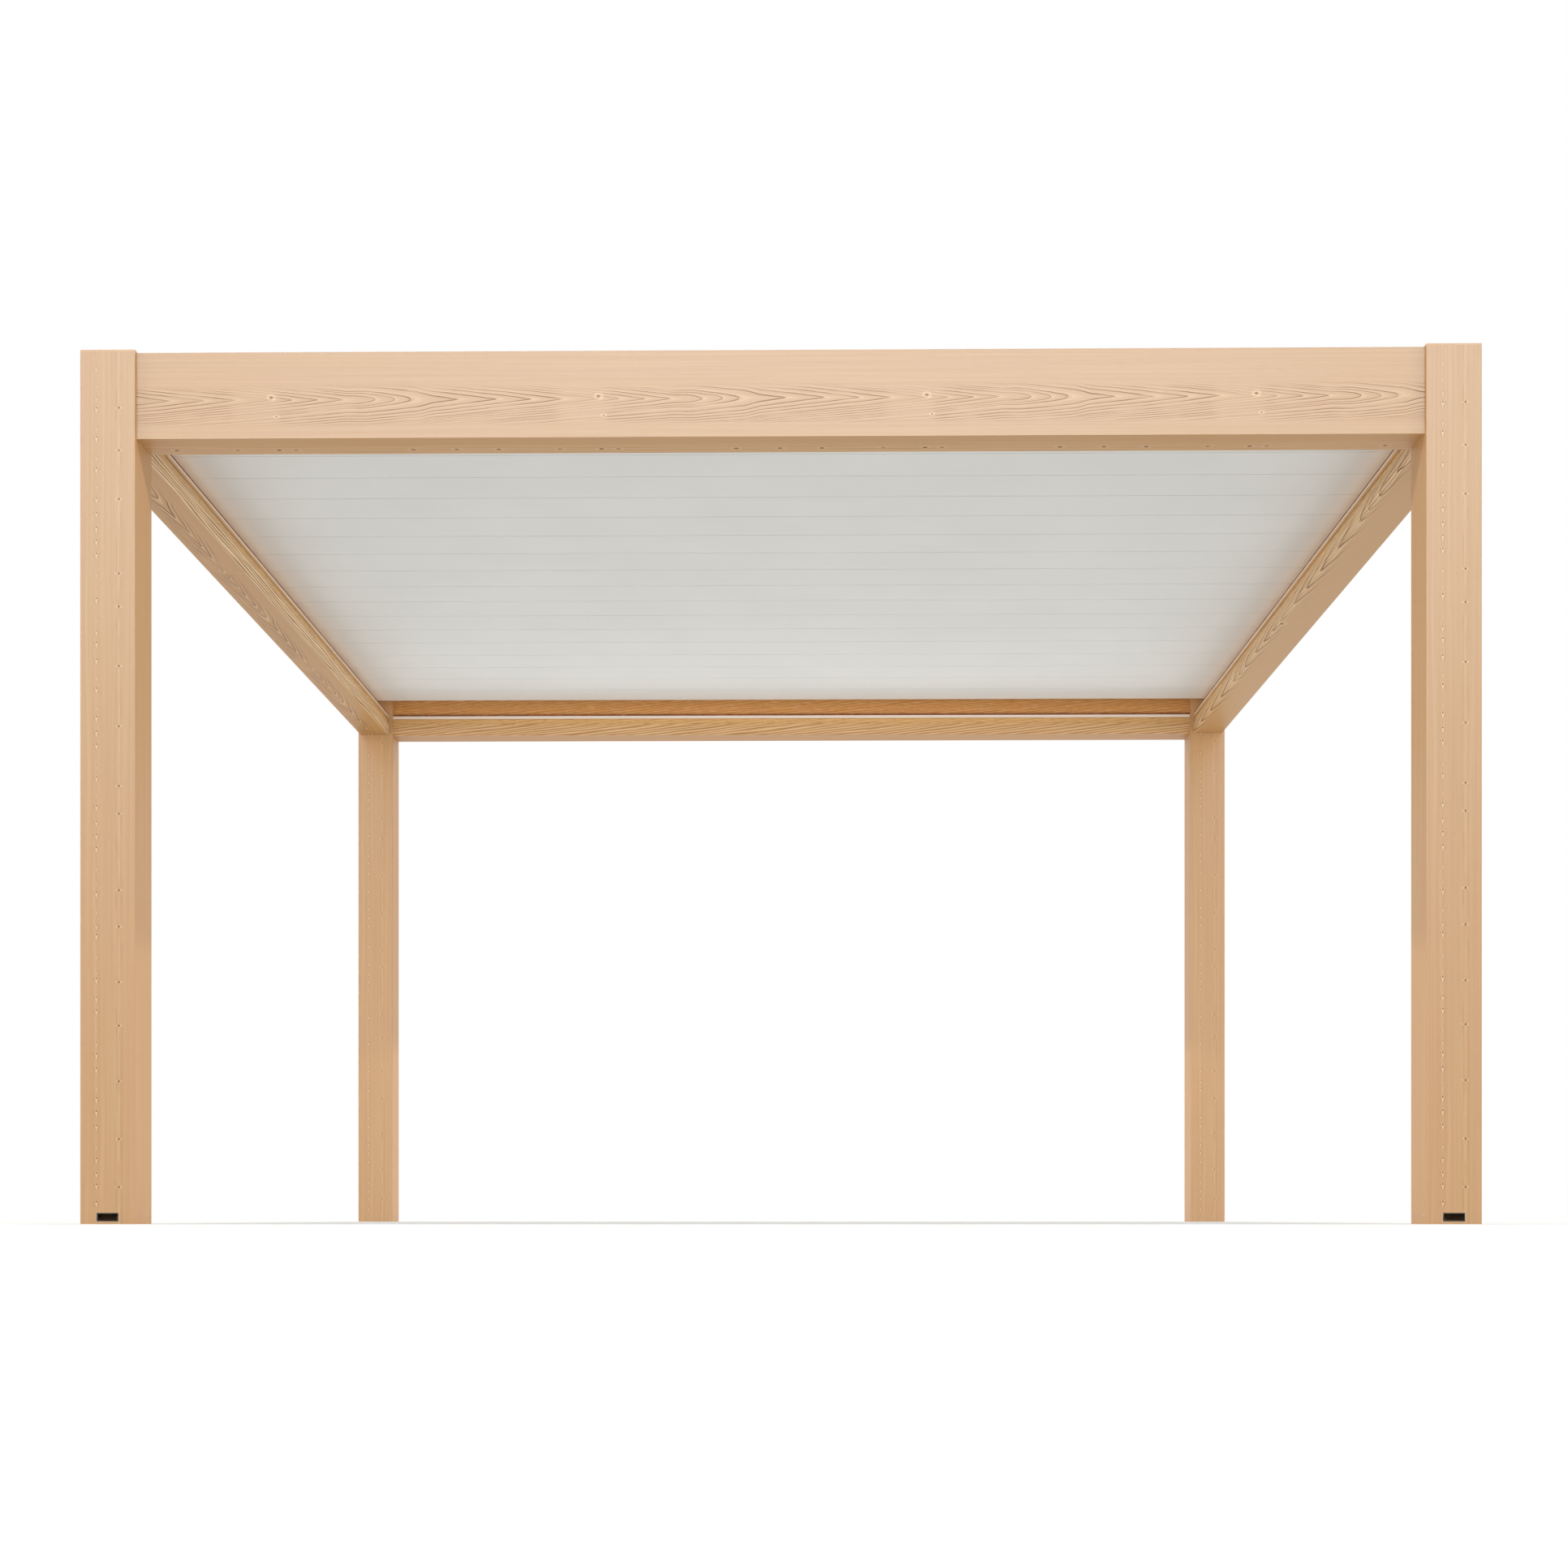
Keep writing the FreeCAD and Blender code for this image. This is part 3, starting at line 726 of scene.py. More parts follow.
def heart_marks(finish, along, wrap, heart, seed, lines, bands, above=0.044, below=0.078):
    """Rings, their crowded arms and the knots about the line where the heart was cut."""
    line, shade, rim, offset = add_rings(finish, along, wrap - heart, seed)
    near = (1 - offset.rise(above - HEART_FADE, above)) * offset.rise(-below, HEART_FADE - below)
    close = 1 - abs(offset).rise(0.004, 0.03) * 0.25
    patchy = finish.noise(along, wrap, PATCHY, seed + 7).rise(0.3, 0.6)
    place = (along / PRINT_LENGTH).fraction()
    calm = (place.rise(*CALM_END) + 1 - place.rise(*CALM_START)) * CALM_SHARE
    large, large_halo = add_knot(finish, along, wrap - heart, *LARGE_KNOT)
    small, small_halo = add_knot(finish, along, wrap - heart, *SMALL_KNOT)
    line = line * (0.35 + 0.65 * patchy) * (1 - calm)
    dark = near * close * (line * lines + shade * bands)
    light = near * rim * bands * RIM_SHARE + (large_halo + small_halo) * HALO_SHARE
    return dark + large * LARGE_SHARE + small * SMALL_SHARE, light


print("knots beside the heart:", LARGE_KNOT, SMALL_KNOT)

# %% [markdown]
# ## Undersides
# The front beam's underside shows a row of knots close to its inner edge. The left one
# shows drawn-out rings, and the right one larger rings whose heart lies at the edge to the
# inner face. Each could have a formula of its own, but scaling both coordinates makes the
# same rings larger, and scaling one stretches them.

# %% Undersides
FRONT_SHIFT = -0.515
FRONT_KNOTS = -0.096
FRONT_KNOT_PLACES = {0: 1, 0.049: 0.5, 0.391: 0.9, 0.518: 0.8, 0.640: 0.9, 0.818: 0.5}
FRONT_KNOT_RADIUS = 0.0042
FRONT_KNOT_SHARE = 1.6
FRONT_HALO_SHARE = 0.15
FRONT_LINES = 0.016
FRONT_LINE_SHARE = 0.12
FRONT_RIM_SHARE = 0.28
LEFT_SHIFT = -0.707
LEFT_HEART = -0.052
LEFT_STRETCH = 0.7
RIGHT_HEART = -0.140
RIGHT_SCALE = 0.45
UNDER_BANDS = 0.17


def front_underside(finish, along, wrap, seed):
    """Quiet lines and a row of knots."""
    along = along - FRONT_SHIFT
    line, rim = add_lines(finish, along, wrap, seed + 5, FRONT_LINES)
    dark = line * FRONT_LINE_SHARE
    light = rim * FRONT_RIM_SHARE * (1 - wrap.rise(-0.08, -0.04))
    for place, strength in FRONT_KNOT_PLACES.items():
        core, halo = add_knot(finish, along, wrap - FRONT_KNOTS, place, 0, FRONT_KNOT_RADIUS)
        dark = dark + core * strength * FRONT_KNOT_SHARE
        light = light + halo * FRONT_HALO_SHARE
    return dark, light


def left_underside(finish, along, wrap, seed):
    """Rings drawn out along the beam."""
    stretched = (along - LEFT_SHIFT) * LEFT_STRETCH
    return heart_marks(finish, stretched, wrap, LEFT_HEART, seed, 1.3, UNDER_BANDS, 0.05, 0.036)


def right_underside(finish, along, wrap, seed):
    """Large rings about a heart at the beam's inner edge."""
    scale = RIGHT_SCALE
    return heart_marks(finish, along * scale, wrap * scale, RIGHT_HEART * scale, seed, 0.9,
                       UNDER_BANDS, 0.022, 0.024)


print("knots under the front beam:", len(FRONT_KNOT_PLACES))

# %% [markdown]
# ## Inner faces
# The faces towards the room show the part of the print that lies far from the heart: strong parallel
# lines, then golden patches beside the light strip, which also paint light into that shaded recess. The
# side beams' inner faces are made paler with cream, which is painted light. On the back beam a gold
# stretch deepens to the top: painted shade, where the blades shade the face above the strip. Masks on
# the height blend them into each other, where separate materials would leave hard edges.

# %% Inner faces
# A deep gold that is painted shade: it stands for the shade on faces under the roof.
SHADE_GOLD = colour(173, 115, 48)
# A paler gold: the print's golden patches, which also paint light into the shaded recess beside the
# strip.
PATCH_GOLD_AND_LIGHT = colour(211, 165, 102)
INNER_EDGE = -0.118
GOLD_EDGE = -0.172
# Where the painted shade of deep gold above the strip begins.
DARK_EDGE = -0.212
INNER_LINES = 0.0115
LINE_SLANTS = {"front": 0, "back": 0.12, "left": 0, "right": 0}
LINE_SHARES = {"front": 0.4, "back": 0.6, "left": 1.35, "right": 0.75}
# Painted light: a share of cream that makes the side beams' shaded inner faces paler.
INNER_PAINTED_LIGHT = {"front": 0, "back": 0, "left": 0.3, "right": 0.3}
# Each pair: the share of gold that is always there, and the share that comes in patches. The first also
# sets the painted shade of deep gold above the strip.
GOLD_SHARES = {"front": (0, 0.4), "back": (0.85, 0.15), "left": (0, 0.9), "right": (0, 0.9)}
PATCHES = (11, 40)
PATCH_SLANT = 0.3
GOLD_STREAKS = (26, 300)
GOLD_STREAK_SHARE = 0.45
CREAM_STREAKS = (20, 200)
CREAM_STREAK_SHARE = 0.35
PALE_SHARE = 0.9


def inner_marks(finish, side, along, wrap, seed):
    """Strong parallel lines up the inner face, golden patches that also paint light into the shaded
    recess, and painted shade of deep gold above the strip.
    """
    inner = 1 - wrap.rise(INNER_EDGE - 0.012, INNER_EDGE)
    top = 1 - wrap.rise(GOLD_EDGE - 0.01, GOLD_EDGE)
    # Painted shade: the face above the strip, which the blades shade, turns deep gold.
    shaded_top = 1 - wrap.rise(DARK_EDGE - 0.002, DARK_EDGE)
    line, pale = add_lines(finish, along, wrap + along * LINE_SLANTS[side], seed, INNER_LINES)
    slanted = wrap + along * PATCH_SLANT
    patches = finish.noise(along, slanted, PATCHES, seed + 9).rise(0.4, 0.58)
    streaks = finish.noise(along, wrap, GOLD_STREAKS, seed + 12).rise(0.55, 0.7)
    creamy = finish.noise(along, wrap, CREAM_STREAKS, seed + 15).rise(0.5, 0.7)
    share = LINE_SHARES[side]
    always, sometimes = GOLD_SHARES[side]
    low = inner * (1 - top * 0.7) * share
    dark = line * low + streaks * top * GOLD_STREAK_SHARE
    light = pale * low * PALE_SHARE + creamy * top * CREAM_STREAK_SHARE * share
    # Print and painted light: golden patches, and on the back beam a share that is always there,
    # lighten the shaded recess.
    golden = patches * sometimes + always
    # Cream here is painted light, paler gold is print and painted light, and deep gold is painted
    # shade.
    return dark, light, [(inner * INNER_PAINTED_LIGHT[side], CREAM_PRINT_AND_LIGHT), (top * golden, PATCH_GOLD_AND_LIGHT),
                         (shaded_top * always, SHADE_GOLD)]


print("inner faces from", INNER_EDGE, "to", DARK_EDGE)

# %% [markdown]
# ## Four beam films
# Each beam gets a film of its own, because each was cut from another length of the print and each gets
# its own painted shade and light under the roof.
# A film joins the outer face, the underside and the inner face by masks on the place
# around the profile, so one material covers a whole extrusion without a seam.

# %% Beam films
OUTER_HEART = 0.110
OUTER_LINES = 0.95
OUTER_BANDS = 0.07
UNDER_END = -0.137
EDGE_FADE = 0.001
# Painted shade: a deeper, warmer tan on the underside and inner face, the look that the shade under the
# roof gives the film.
SHADE_TAN = colour(200, 147, 80)
UNDER_SHADE_TAN = {"front": 0.45, "back": 0.3, "left": 0.4, "right": 0.45}
# Painted shade: a share of deep gold on the underside.
UNDER_SHADE_GOLD = {"front": 0, "back": 0.35, "left": 0.1, "right": 0.05}
# Painted light: a share of cream that makes the right beam's underside and inner face paler.
UNDER_PAINTED_LIGHT = {"front": 0, "back": 0, "left": 0, "right": 0.1}


def beam_film(side, seed, shift, underside=None):
    """One beam's film: Vs outside, its own figure below and lines and gold inside, with painted shade
    and painted light on the faces under the roof.
    """
    finish = Finish("film_beam_" + side)
    along, wrap = around_beam(finish, side)
    dark, light = heart_marks(finish, along - shift, wrap, OUTER_HEART, seed, OUTER_LINES,
                              OUTER_BANDS)
    inward = 1 - wrap.rise(-EDGE_FADE, 0)
    if underside:
        more, pale = underside(finish, along, wrap, seed + 20)
        dark = dark + more * inward
        light = light + pale * inward
    under = inward * wrap.rise(UNDER_END - 2 * EDGE_FADE, UNDER_END)
    # Painted shade in tan and deep gold, and painted light in cream, on the faces under the roof.
    grounds = [(inward * UNDER_SHADE_TAN[side], SHADE_TAN), (under * UNDER_SHADE_GOLD[side], SHADE_GOLD),
               (inward * UNDER_PAINTED_LIGHT[side], CREAM_PRINT_AND_LIGHT)]
    more, pale, patches = inner_marks(finish, side, along, wrap, seed + 31)
    return film(finish, along, wrap, dark + more, light + pale, grounds + patches)


BEAM_FILMS = {
    "front": beam_film("front", 1, FRONT_SHIFT, front_underside),
    "back": beam_film("back", 2, 0.31),
    "left": beam_film("left", 3, 0.12, left_underside),
    "right": beam_film("right", 4, -0.2, right_underside),
}
print("beam films:", len(BEAM_FILMS))

# %% [markdown]
# ## Posts
# On a post the same print runs upright, with a column of arrows near one edge and a column of knots
# near the other. The side faces show the quiet part of the print, with a share of deep gold that is
# painted shade. One material serves all four posts: the sign of a coordinate tells which post a point
# is on.
# serves all four posts: the sign of a coordinate tells which post a point is on.

# %% Post film
post_low, post_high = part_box("post_front_right")
POST_AXIS = (post_low.x + post_high.x) / 2
POST_SIDE = post_high.x - post_low.x
ARROW_COLUMN = (0.297 - 0.5) * POST_SIDE
EYE_COLUMN = (0.705 - 0.5) * POST_SIDE
POST_LINES = 0.021
QUIET = (1.1, 40)
# Painted shade: a share of deep gold on the posts' side faces.
SIDE_SHADE_GOLD = 0.2
SIDE_OFFSET = 0.5
FIGURE_DARK = 1.35
DROP_LIGHT = 0.5
WING_LIGHT = 0.34
QUIET_DARK = 0.09
QUIET_LIGHT = 0.1


def post_film():
    """The posts' film: arrows and winged knots in front, quiet lines on every face, and painted shade
    in deep gold on the side faces.
    """
    finish = Finish("film_posts")
    x, y, z = finish.places()
    facing_x = abs(finish.parts(finish.node("ShaderNodeTexCoord", output="Normal"))[0])
    own_x = x - x.math("SIGN") * POST_AXIS
    own_y = y - y.math("SIGN") * POST_AXIS
    side_face = facing_x.rise(0.5, 0.8)
    front_face = 1 - side_face
    wrap = own_x * front_face + (own_y + SIDE_OFFSET) * side_face
    point, drop = add_arrows(finish, z, own_x - ARROW_COLUMN, 51)
    eye, wings = add_eyes(finish, z, own_x - EYE_COLUMN, 57)
    line, pale = add_lines(finish, z, wrap, 63, POST_LINES)
    quiet = finish.noise(z, wrap, QUIET, 71).rise(0.45, 0.75)
    dark = (point + eye) * front_face * FIGURE_DARK + line * quiet * QUIET_DARK
    light = (drop * DROP_LIGHT + wings * WING_LIGHT) * front_face + pale * quiet * QUIET_LIGHT
    # The side faces get painted shade in deep gold.
    return film(finish, z, wrap, dark, light, [(side_face * SIDE_SHADE_GOLD, SHADE_GOLD)])


POST_FILM = post_film()
print("post axis:", round(POST_AXIS, 4), "side:", round(POST_SIDE, 4))

# %% [markdown]
# ## Powder coat
# The blades have a fine white powder coat: slightly rough, with an orange peel finer than
# sand. A plain white would look like plastic, so two noises vary it: a very fine one for
# the relief, and a cloudy one for the gloss and a trace of the colour.

# %% Powder coat
PEEL_CYCLES = 900
PEEL_DEPTH = 0.00004
CLOUD_CYCLES = 2.5


def coated_finish(name, shown, roughness):
    """Powder coat: a very fine orange peel, and a trace of cloudiness in the gloss."""
    finish = Finish(name)
    vector = finish.point()
    peel = finish.grain(vector, PEEL_CYCLES, 1)
    cloud = finish.grain(vector, CLOUD_CYCLES, 2)
    return finish.close(
        {"Specular IOR Level": 0.3},
        Base_Color=finish.mix(cloud.rise(0.3, 0.7), shown, tone(shown, 0.98)),
        Roughness=cloud * 0.12 + roughness,
        Normal=finish.bump(peel, PEEL_DEPTH),
    )


BLADE_WHITE = coated_finish("blade_white", colour(230, 231, 228), 0.5)
END_WHITE = coated_finish("blade_end_white", colour(226, 225, 222), 0.5)
CAP_SAND = coated_finish("post_cap_sand", colour(206, 168, 128), 0.45)
print("coats:", [coat.name for coat in (BLADE_WHITE, END_WHITE, CAP_SAND)])

# %% [markdown]
# ## Bare aluminium
# The hidden rails and feet are aluminium as it leaves the die: metal with fine lines along
# its length. A noise that is very short across and long along gives the lines, and the
# same noise drives colour, gloss and relief, as one scratch changes all three.

# %% Bare aluminium
DRAWING = (1400, 3)
DRAWING_DEPTH = 0.00003


def drawn_finish(name, shown):
    """Bare extruded aluminium with fine lines along its length, which is Y here."""
    finish = Finish(name)
    x, y, z = finish.places()
    lines = finish.noise(x + z, y, DRAWING, 4)
    return finish.close(
        {"Metallic": 1.0},
        Base_Color=finish.mix(lines, shown, tone(shown, 0.86)),
        Roughness=lines * 0.2 + 0.28,
        Normal=finish.bump(lines, DRAWING_DEPTH),
    )


RAIL_METAL = drawn_finish("rail_metal", colour(205, 206, 208))
FOOT_METAL = drawn_finish("foot_metal", colour(170, 172, 174))
print("metals:", RAIL_METAL.name, FOOT_METAL.name)

# %% [markdown]
# ## Light strip
# The strip is a ribbed opal cover in the upper part of a wood-look channel, and less of it
# shows along the sides than along the ends. A mask on the height parts the cover from the
# channel. The ribs could be modelled, but they are so fine that a triangle wave along the
# strip does as well. The cover has a faint warm glow of its own.

# %% Light strip
STRIP_GLOW = 0.1
STRIP_GLOW_COLOUR = (1.0, 0.72, 0.5, 1)
SIDE_COVER = 0.006
END_COVER = 0.012
COVER_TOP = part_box("led_strips")[1].z
COVER_EDGE = 0.0003
RIB_PITCH = 0.004
RIB_DEPTH = 0.0002
OPAL = colour(214, 202, 192)
OPAL_RIB = colour(204, 192, 182)
CHANNEL_GRAIN = (6, 500)
BLACK = (0, 0, 0, 1)


def opal_finish(name):
    """The light strip: a milky ribbed cover in the upper part of its wood-look channel."""
    finish = Finish(name)
    x, y, z = finish.places()
    ribs = abs(((x + y) / RIB_PITCH).fraction() - 0.5) * 2
    on_side = (abs(x) - abs(y)).rise(-0.001, 0.001)
    height = on_side * (SIDE_COVER - END_COVER) + END_COVER
    cover = (z + height - COVER_TOP).rise(-COVER_EDGE, COVER_EDGE)
    grain = finish.noise(x + y, z, CHANNEL_GRAIN, 21)
    channel = finish.mix(grain.rise(0.35, 0.65), PATCH_GOLD_AND_LIGHT, WOOD_LIGHT)
    return finish.close(
        {"Emission Strength": STRIP_GLOW},
        Base_Color=finish.mix(cover, channel, finish.mix(ribs, OPAL, OPAL_RIB)),
        Emission_Color=finish.mix(cover, BLACK, STRIP_GLOW_COLOUR),
        Roughness=ribs * 0.1 + 0.36,
        Normal=finish.bump(ribs * cover, RIB_DEPTH),
    )


STRIP_OPAL = opal_finish("strip_opal")
print("cover top:", round(COVER_TOP, 4))

# %% [markdown]
# ## Rubber and black plastic
# The seals along the beams' inner faces are dark brown rubber, and the drain outlets are black plastic.
# The seals' dark brown also paints the shade along the lip's top edge and a warm reflected fringe
# beside it. Neither is one flat colour: a faint mottled bloom makes the skin paler and rougher here and
# there, which is what tells rubber and plastic from a painted dark shape.

# %% Rubber and black plastic
BLOOM_CYCLES = 60
BLOOM_DEPTH = 0.0001


def dark_finish(name, shown, roughness):
    """Rubber or black plastic: a faint mottled bloom on a matt skin."""
    finish = Finish(name)
    bloom = finish.grain(finish.point(), BLOOM_CYCLES, 3)
    return finish.close(
        None,
        Base_Color=finish.mix(bloom.rise(0.4, 0.8), shown, tone(shown, 1.8, 0.004)),
        Roughness=bloom * 0.2 + roughness,
        Normal=finish.bump(bloom, BLOOM_DEPTH),
    )


# The seals' dark brown is rubber, and also painted shade at the lip's top edge with a painted warm
# reflection beside it.
SEAL_RUBBER_AND_SHADE = dark_finish("seal_rubber", colour(128, 72, 34), 0.6)
SPOUT_BLACK = dark_finish("spout_black", colour(22, 22, 23), 0.45)
print("finishes:", len(bpy.data.materials))

# %% [markdown]
# ## Dressing the pieces
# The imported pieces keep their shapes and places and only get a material. Each could have a
# line of its own, but a piece's name already says what it is, so a short function picks
# the finish by name. A name that it doesn't know stops the script, so no piece stays bare.

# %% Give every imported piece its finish
SINGLE_FINISHES = {
    "post_caps": CAP_SAND,
    "post_feet": FOOT_METAL,
    "gutter_lips": BEAM_FILMS["left"],
    "led_strips": STRIP_OPAL,
    "lip_seals": SEAL_RUBBER_AND_SHADE,
    "drain_outlets": SPOUT_BLACK,
}


def finish_for(name):
    """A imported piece's finish, found by its name."""
    if name.startswith("post_") and name not in SINGLE_FINISHES:
        return POST_FILM
    if name.startswith("beam_"):
        return BEAM_FILMS[name.removeprefix("beam_")]
    if name.startswith("louvre_ends"):
        return END_WHITE
    if name.startswith(("louvre", "closing_strip")):
        return BLADE_WHITE
    if name.startswith("pivot_rail"):
        return RAIL_METAL
    return SINGLE_FINISHES[name]


for name, node in nodes.items():
    node.data.materials.clear()
    node.data.materials.append(finish_for(name))
print("dressed pieces:", len(nodes))

# %% [markdown]
# ## Screws and rivets
# Each post is held on its foot by two screws in either side face, the pivot rails are
# screwed to the beams between the blades' bores, and the closing strips are riveted on.
# All are small round heads that repeat, which is what Geometry Nodes are for. A tree runs
# on a mesh whose points are the places, and each point carries the way its head faces.
# The result is kept as plain mesh, so nothing is left to work out when a joint moves.

# %% Growing a piece from points


def grow(name, tree, points, values, outward=None):
    """Runs a tree on a mesh of points and keeps its result as one plain mesh."""
    mesh = bpy.data.meshes.new(name + "_points")
    mesh.from_pydata(points, [], [])
    if outward:
        ways = mesh.attributes.new("outward", "FLOAT_VECTOR", "POINT")
        ways.data.foreach_set("vector", [part for way in outward for part in way])
    piece = bpy.data.objects.new(name, mesh)
    bpy.context.scene.collection.objects.link(piece)
    modifier = piece.modifiers.new("grown", "NODES")
    modifier.node_group = tree
    for socket in tree.interface.items_tree:
        if socket.name in values:
            modifier[socket.identifier] = values[socket.name]
    evaluated = piece.evaluated_get(bpy.context.evaluated_depsgraph_get())
    plain = bpy.data.meshes.new_from_object(evaluated)
    piece.modifiers.clear()
    piece.data = plain
    return piece


def new_tree(name, sizes):
    """An empty tree whose inputs are a mesh of points, the named sizes and a finish."""
    tree = bpy.data.node_groups.new(name, "GeometryNodeTree")
    face = tree.interface
    face.new_socket("Geometry", in_out="INPUT", socket_type="NodeSocketGeometry")
    for size, default in sizes.items():
        socket = face.new_socket(size, in_out="INPUT", socket_type="NodeSocketFloat")
        socket.default_value = default
    face.new_socket("Finish", in_out="INPUT", socket_type="NodeSocketMaterial")
    face.new_socket("Geometry", in_out="OUTPUT", socket_type="NodeSocketGeometry")
    return tree


def end_tree(node, given, copies):
    """Makes real mesh of a tree's copies and gives it the finish."""
    real = node("GeometryNodeRealizeInstances", None, {0: copies})[0]
    inputs = {"Geometry": real, "Material": given["Finish"]}
    dressed = node("GeometryNodeSetMaterial", None, inputs)[0]
    node("NodeGroupOutput", None, {0: dressed})


print("growing helpers ready")

# %% [markdown]
# ## A round head
# A head could be a squashed sphere, but a real one is a disc with a rounded rim and a
# shallow recess. Three steps of extrude and scale make it from one filled circle: up to
# the rim, in to a smaller ring, and down into the recess.

# %% Head tree
HEAD_SIDES = 16
RIM_SCALE = 0.8
RING_SCALE = 0.55
RECESS_SCALE = 0.9


def build_head_tree():
    """A node tree that puts a round head on each point, turned to its outward vector."""
    tree = new_tree("heads_on_points", {"Radius": 0.004, "Rise": 0.0015, "Recess": -0.001})
    node = adder(tree)
    given = node("NodeGroupInput")
    top = node("GeometryNodeMeshCircle", {"fill_type": "NGON"},
               {"Vertices": HEAD_SIDES, "Radius": given["Radius"]})["Mesh"]
    chosen = None
    steps = ((given["Rise"], RIM_SCALE), (0.0, RING_SCALE), (given["Recess"], RECESS_SCALE))
    for rise, scale in steps:
        inputs = {"Mesh": top, "Offset Scale": rise, "Individual": False}
        if chosen:
            inputs["Selection"] = chosen
        raised = node("GeometryNodeExtrudeMesh", {"mode": "FACES"}, inputs)
        chosen = raised["Top"]
        top = node("GeometryNodeScaleElements", None,
                   {"Geometry": raised["Mesh"], "Selection": chosen, "Scale": scale})[0]
    way = node("GeometryNodeInputNamedAttribute", {"data_type": "FLOAT_VECTOR"},
               {"Name": "outward"})[0]
    turned = node("FunctionNodeAlignRotationToVector", {"axis": "Z"}, {"Vector": way})[0]
    copies = node("GeometryNodeInstanceOnPoints", None,
                  {"Points": given["Geometry"], "Instance": top, "Rotation": turned})[0]
    end_tree(node, given, copies)
    return tree


HEADS = build_head_tree()
print("nodes in the head tree:", len(HEADS.nodes))

# %% [markdown]
# ## Screws at the posts' feet
# Two screws low in each side face hold a post on the foot inside it, one towards the front
# and one towards the back. Their places come from the post's own box, so they sit on its
# faces wherever it stands.

# %% Screws at the posts' feet
FOOT_SCREW_HEIGHT = 0.024
FOOT_SCREW_SPREAD = 0.049
FOOT_SCREW = (0.0038, 0.0012, 0.0008)
SCREW_METAL = drawn_finish("screw_metal", colour(176, 174, 170))


def add_heads(name, places, finish, sizes):
    """Heads at places given as a point and the way it faces, all fixed to the frame."""
    radius, rise, recess = sizes
    piece = grow(name, HEADS, [point for point, _ in places],
                 {"Radius": radius, "Rise": rise, "Recess": -recess, "Finish": finish},
                 [way for _, way in places])
    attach(piece, "frame")
    print(name, len(places), "heads,", len(piece.data.polygons), "faces")


foot_places = []
for name in ("post_front_left", "post_front_right", "post_back_left", "post_back_right"):
    low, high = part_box(name)
    middle = (low.y + high.y) / 2
    for x, way in ((low.x, -1), (high.x, 1)):
        for along in (-FOOT_SCREW_SPREAD, FOOT_SCREW_SPREAD):
            foot_places.append(((x, middle + along, FOOT_SCREW_HEIGHT), (way, 0, 0)))
add_heads("foot_screws", foot_places, SCREW_METAL, FOOT_SCREW)

# %% [markdown]
# ## Screws of the pivot rails
# A rail carries the blades' pins, so it is screwed on once for each blade, between two
# bores. A screw's place follows from its blade's front edge.

# %% Screws of the pivot rails
RAIL_SCREW_OFFSET = 0.012
RAIL_SCREW = (0.004, 0.0014, 0.001)

blade_names = sorted(name for name in nodes if name.startswith("louvre_") and "ends" not in name)
rail_places = []
for name in ("pivot_rail_left", "pivot_rail_right"):
    low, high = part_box(name)
    way = 1 if high.x < 0 else -1
    face = high.x if way > 0 else low.x
    for blade in blade_names:
        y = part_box(blade)[0].y + RAIL_SCREW_OFFSET
        rail_places.append(((face, y, (low.z + high.z) / 2), (way, 0, 0)))
add_heads("rail_screws", rail_places, SCREW_METAL, RAIL_SCREW)

# %% [markdown]
# ## Rivets of the closing strips
# The thin strips that close the roof against the front and back beams hang on rivets
# through their upright leg, evenly spaced from end to end and painted with the strip.

# %% Rivets of the closing strips
RIVET_COUNT = 13
RIVET_INSET = 0.06
RIVET_DROP = 0.007
STRIP_WALL = 0.002
RIVET = (0.0045, 0.0016, 0.0004)

rivet_places = []
for name, way in (("closing_strip_front", 1), ("closing_strip_back", -1)):
    low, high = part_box(name)
    wall = low.y + STRIP_WALL if way > 0 else high.y - STRIP_WALL
    for number in range(RIVET_COUNT):
        share = number / (RIVET_COUNT - 1)
        x = (low.x + RIVET_INSET) * (1 - share) + (high.x - RIVET_INSET) * share
        rivet_places.append(((x, wall, high.z - RIVET_DROP), (0, way, 0)))
add_heads("strip_rivets", rivet_places, BLADE_WHITE, RIVET)

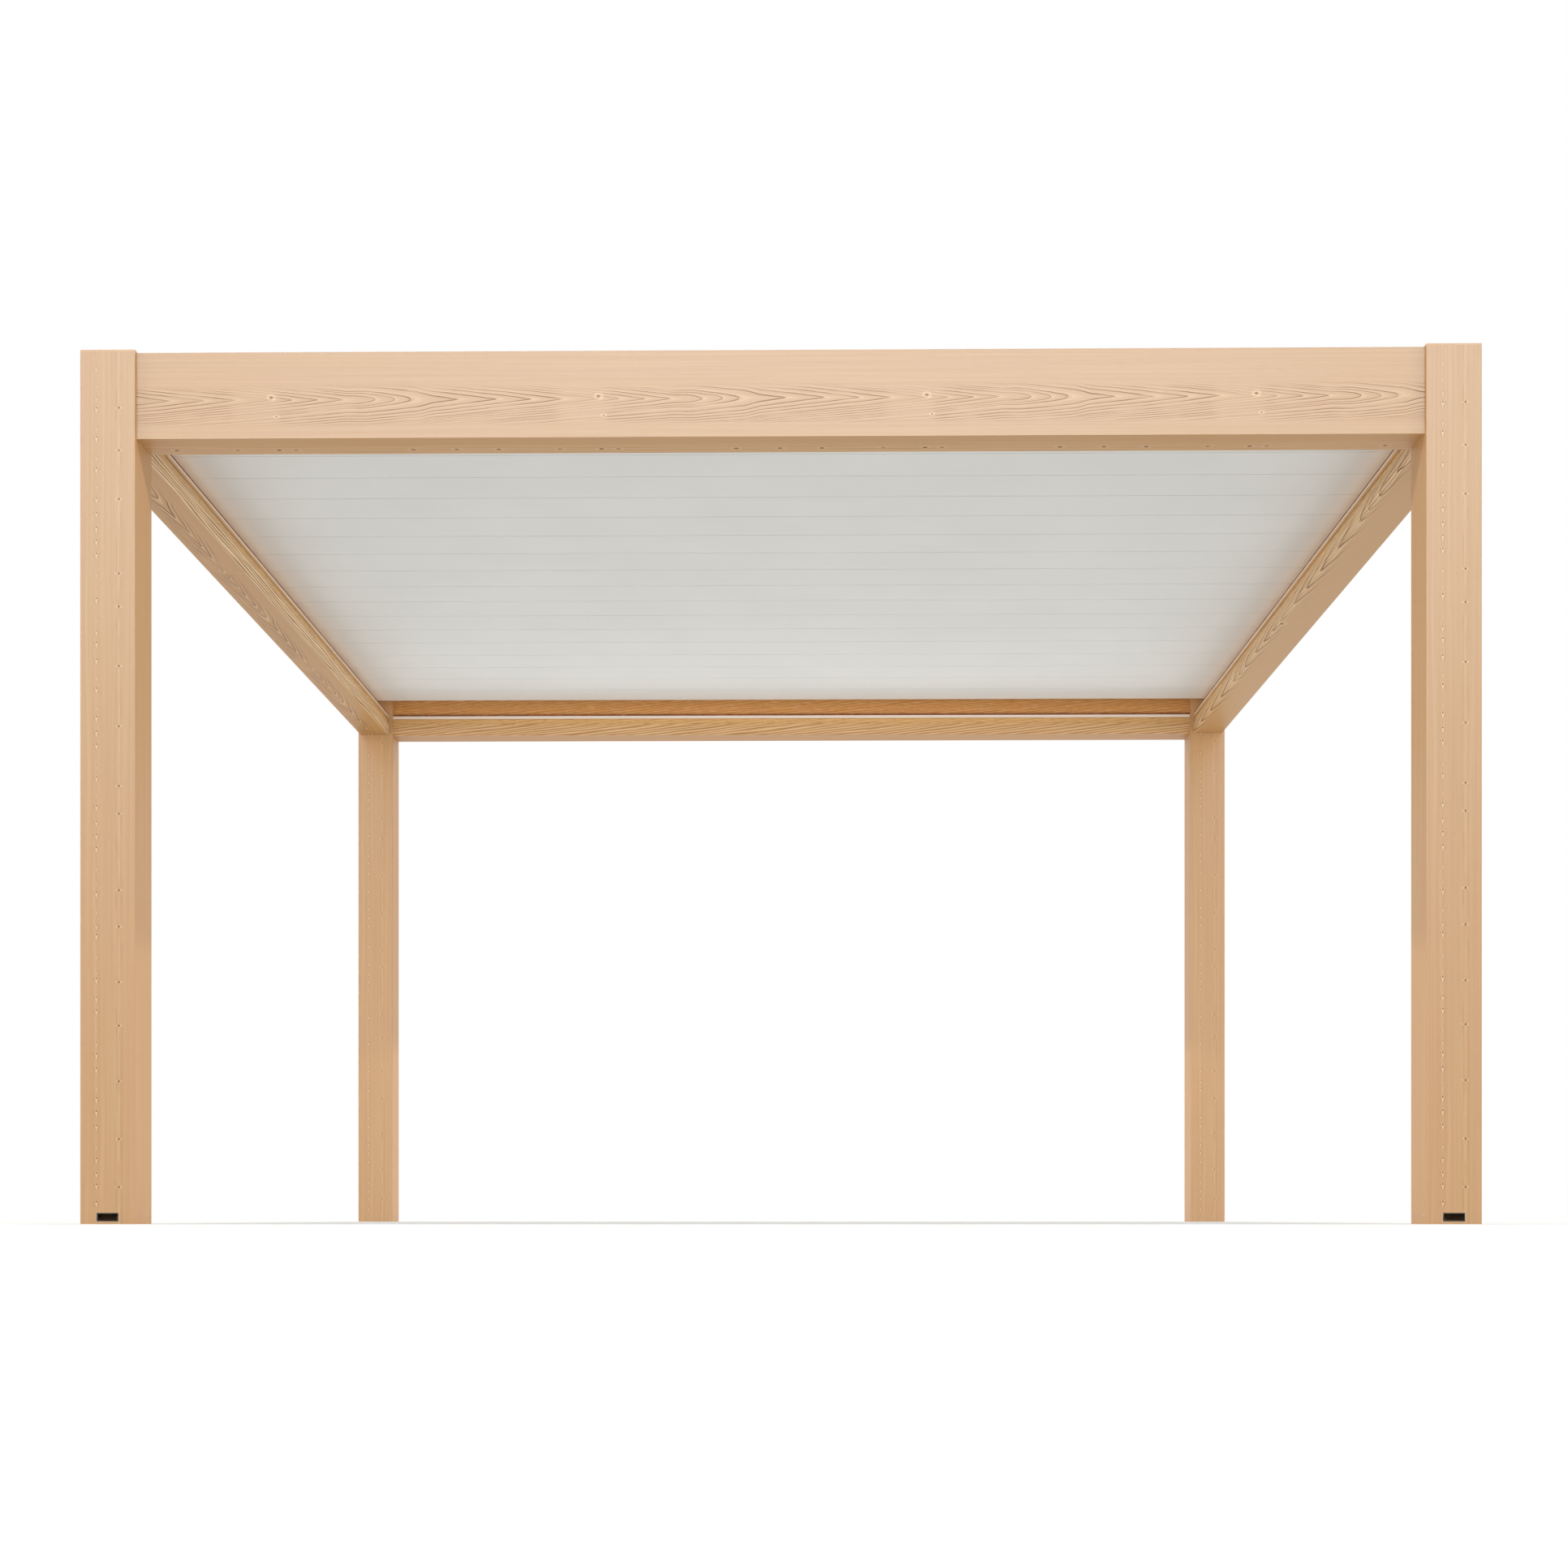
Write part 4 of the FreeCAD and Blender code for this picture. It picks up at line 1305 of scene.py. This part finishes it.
# %% [markdown]
# ## Blade seals
# A slim white strip along the front edge of each blade closes the seam to the blade before
# it, so a shut roof looks like one sheet with faint lines. It is a square with round
# corners, drawn along a line: Curve to Mesh does that, and a copy goes on each point.

# %% Seal tree
CORNER_POINTS = 3


def build_seal_tree():
    """A node tree that lays a square strip with round corners along X through each point."""
    tree = new_tree("seal_strips", {"Length": 1.0, "Side": 0.005, "Corner": 0.001})
    node = adder(tree)
    given = node("NodeGroupInput")
    halves = [node("ShaderNodeMath", {"operation": "DIVIDE"}, {0: given["Length"], 1: part})[0]
              for part in (-2.0, 2.0)]
    start, end = [node("ShaderNodeCombineXYZ", None, {"X": half})[0] for half in halves]
    line = node("GeometryNodeCurvePrimitiveLine", None, {"Start": start, "End": end})[0]
    square = node("GeometryNodeCurvePrimitiveQuadrilateral", None,
                  {"Width": given["Side"], "Height": given["Side"]})[0]
    section = node("GeometryNodeFilletCurve", {"mode": "POLY"},
                   {"Curve": square, "Count": CORNER_POINTS, "Radius": given["Corner"]})[0]
    strip = node("GeometryNodeCurveToMesh", None,
                 {"Curve": line, "Profile Curve": section, "Fill Caps": True})[0]
    copies = node("GeometryNodeInstanceOnPoints", None,
                  {"Points": given["Geometry"], "Instance": strip})[0]
    end_tree(node, given, copies)
    return tree


SEALS = build_seal_tree()
print("nodes in the seal tree:", len(SEALS.nodes))

# %% [markdown]
# A seal rides on its own blade, so it turns with it. It lies against the blade's front
# edge and a hair above its lower face, which leaves the faint line that shows in the seam.

# %% Blade seals
SEAL_SIDE = 0.0049
SEAL_ROUND = 0.001
SEAL_RISE = 0.0005
SEAL_WHITE = coated_finish("seal_white", colour(228, 229, 226), 0.5)

for blade in blade_names:
    low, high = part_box(blade)
    middle = (low.x + high.x) / 2
    place = (middle, low.y - SEAL_SIDE / 2, low.z + SEAL_SIDE / 2 + SEAL_RISE)
    grown = grow("seal_" + blade, SEALS, [place], {
        "Length": high.x - low.x, "Side": SEAL_SIDE, "Corner": SEAL_ROUND, "Finish": SEAL_WHITE})
    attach(grown, "louvre_blade_" + blade.removeprefix("louvre_"))
print("blade seals:", len(blade_names))
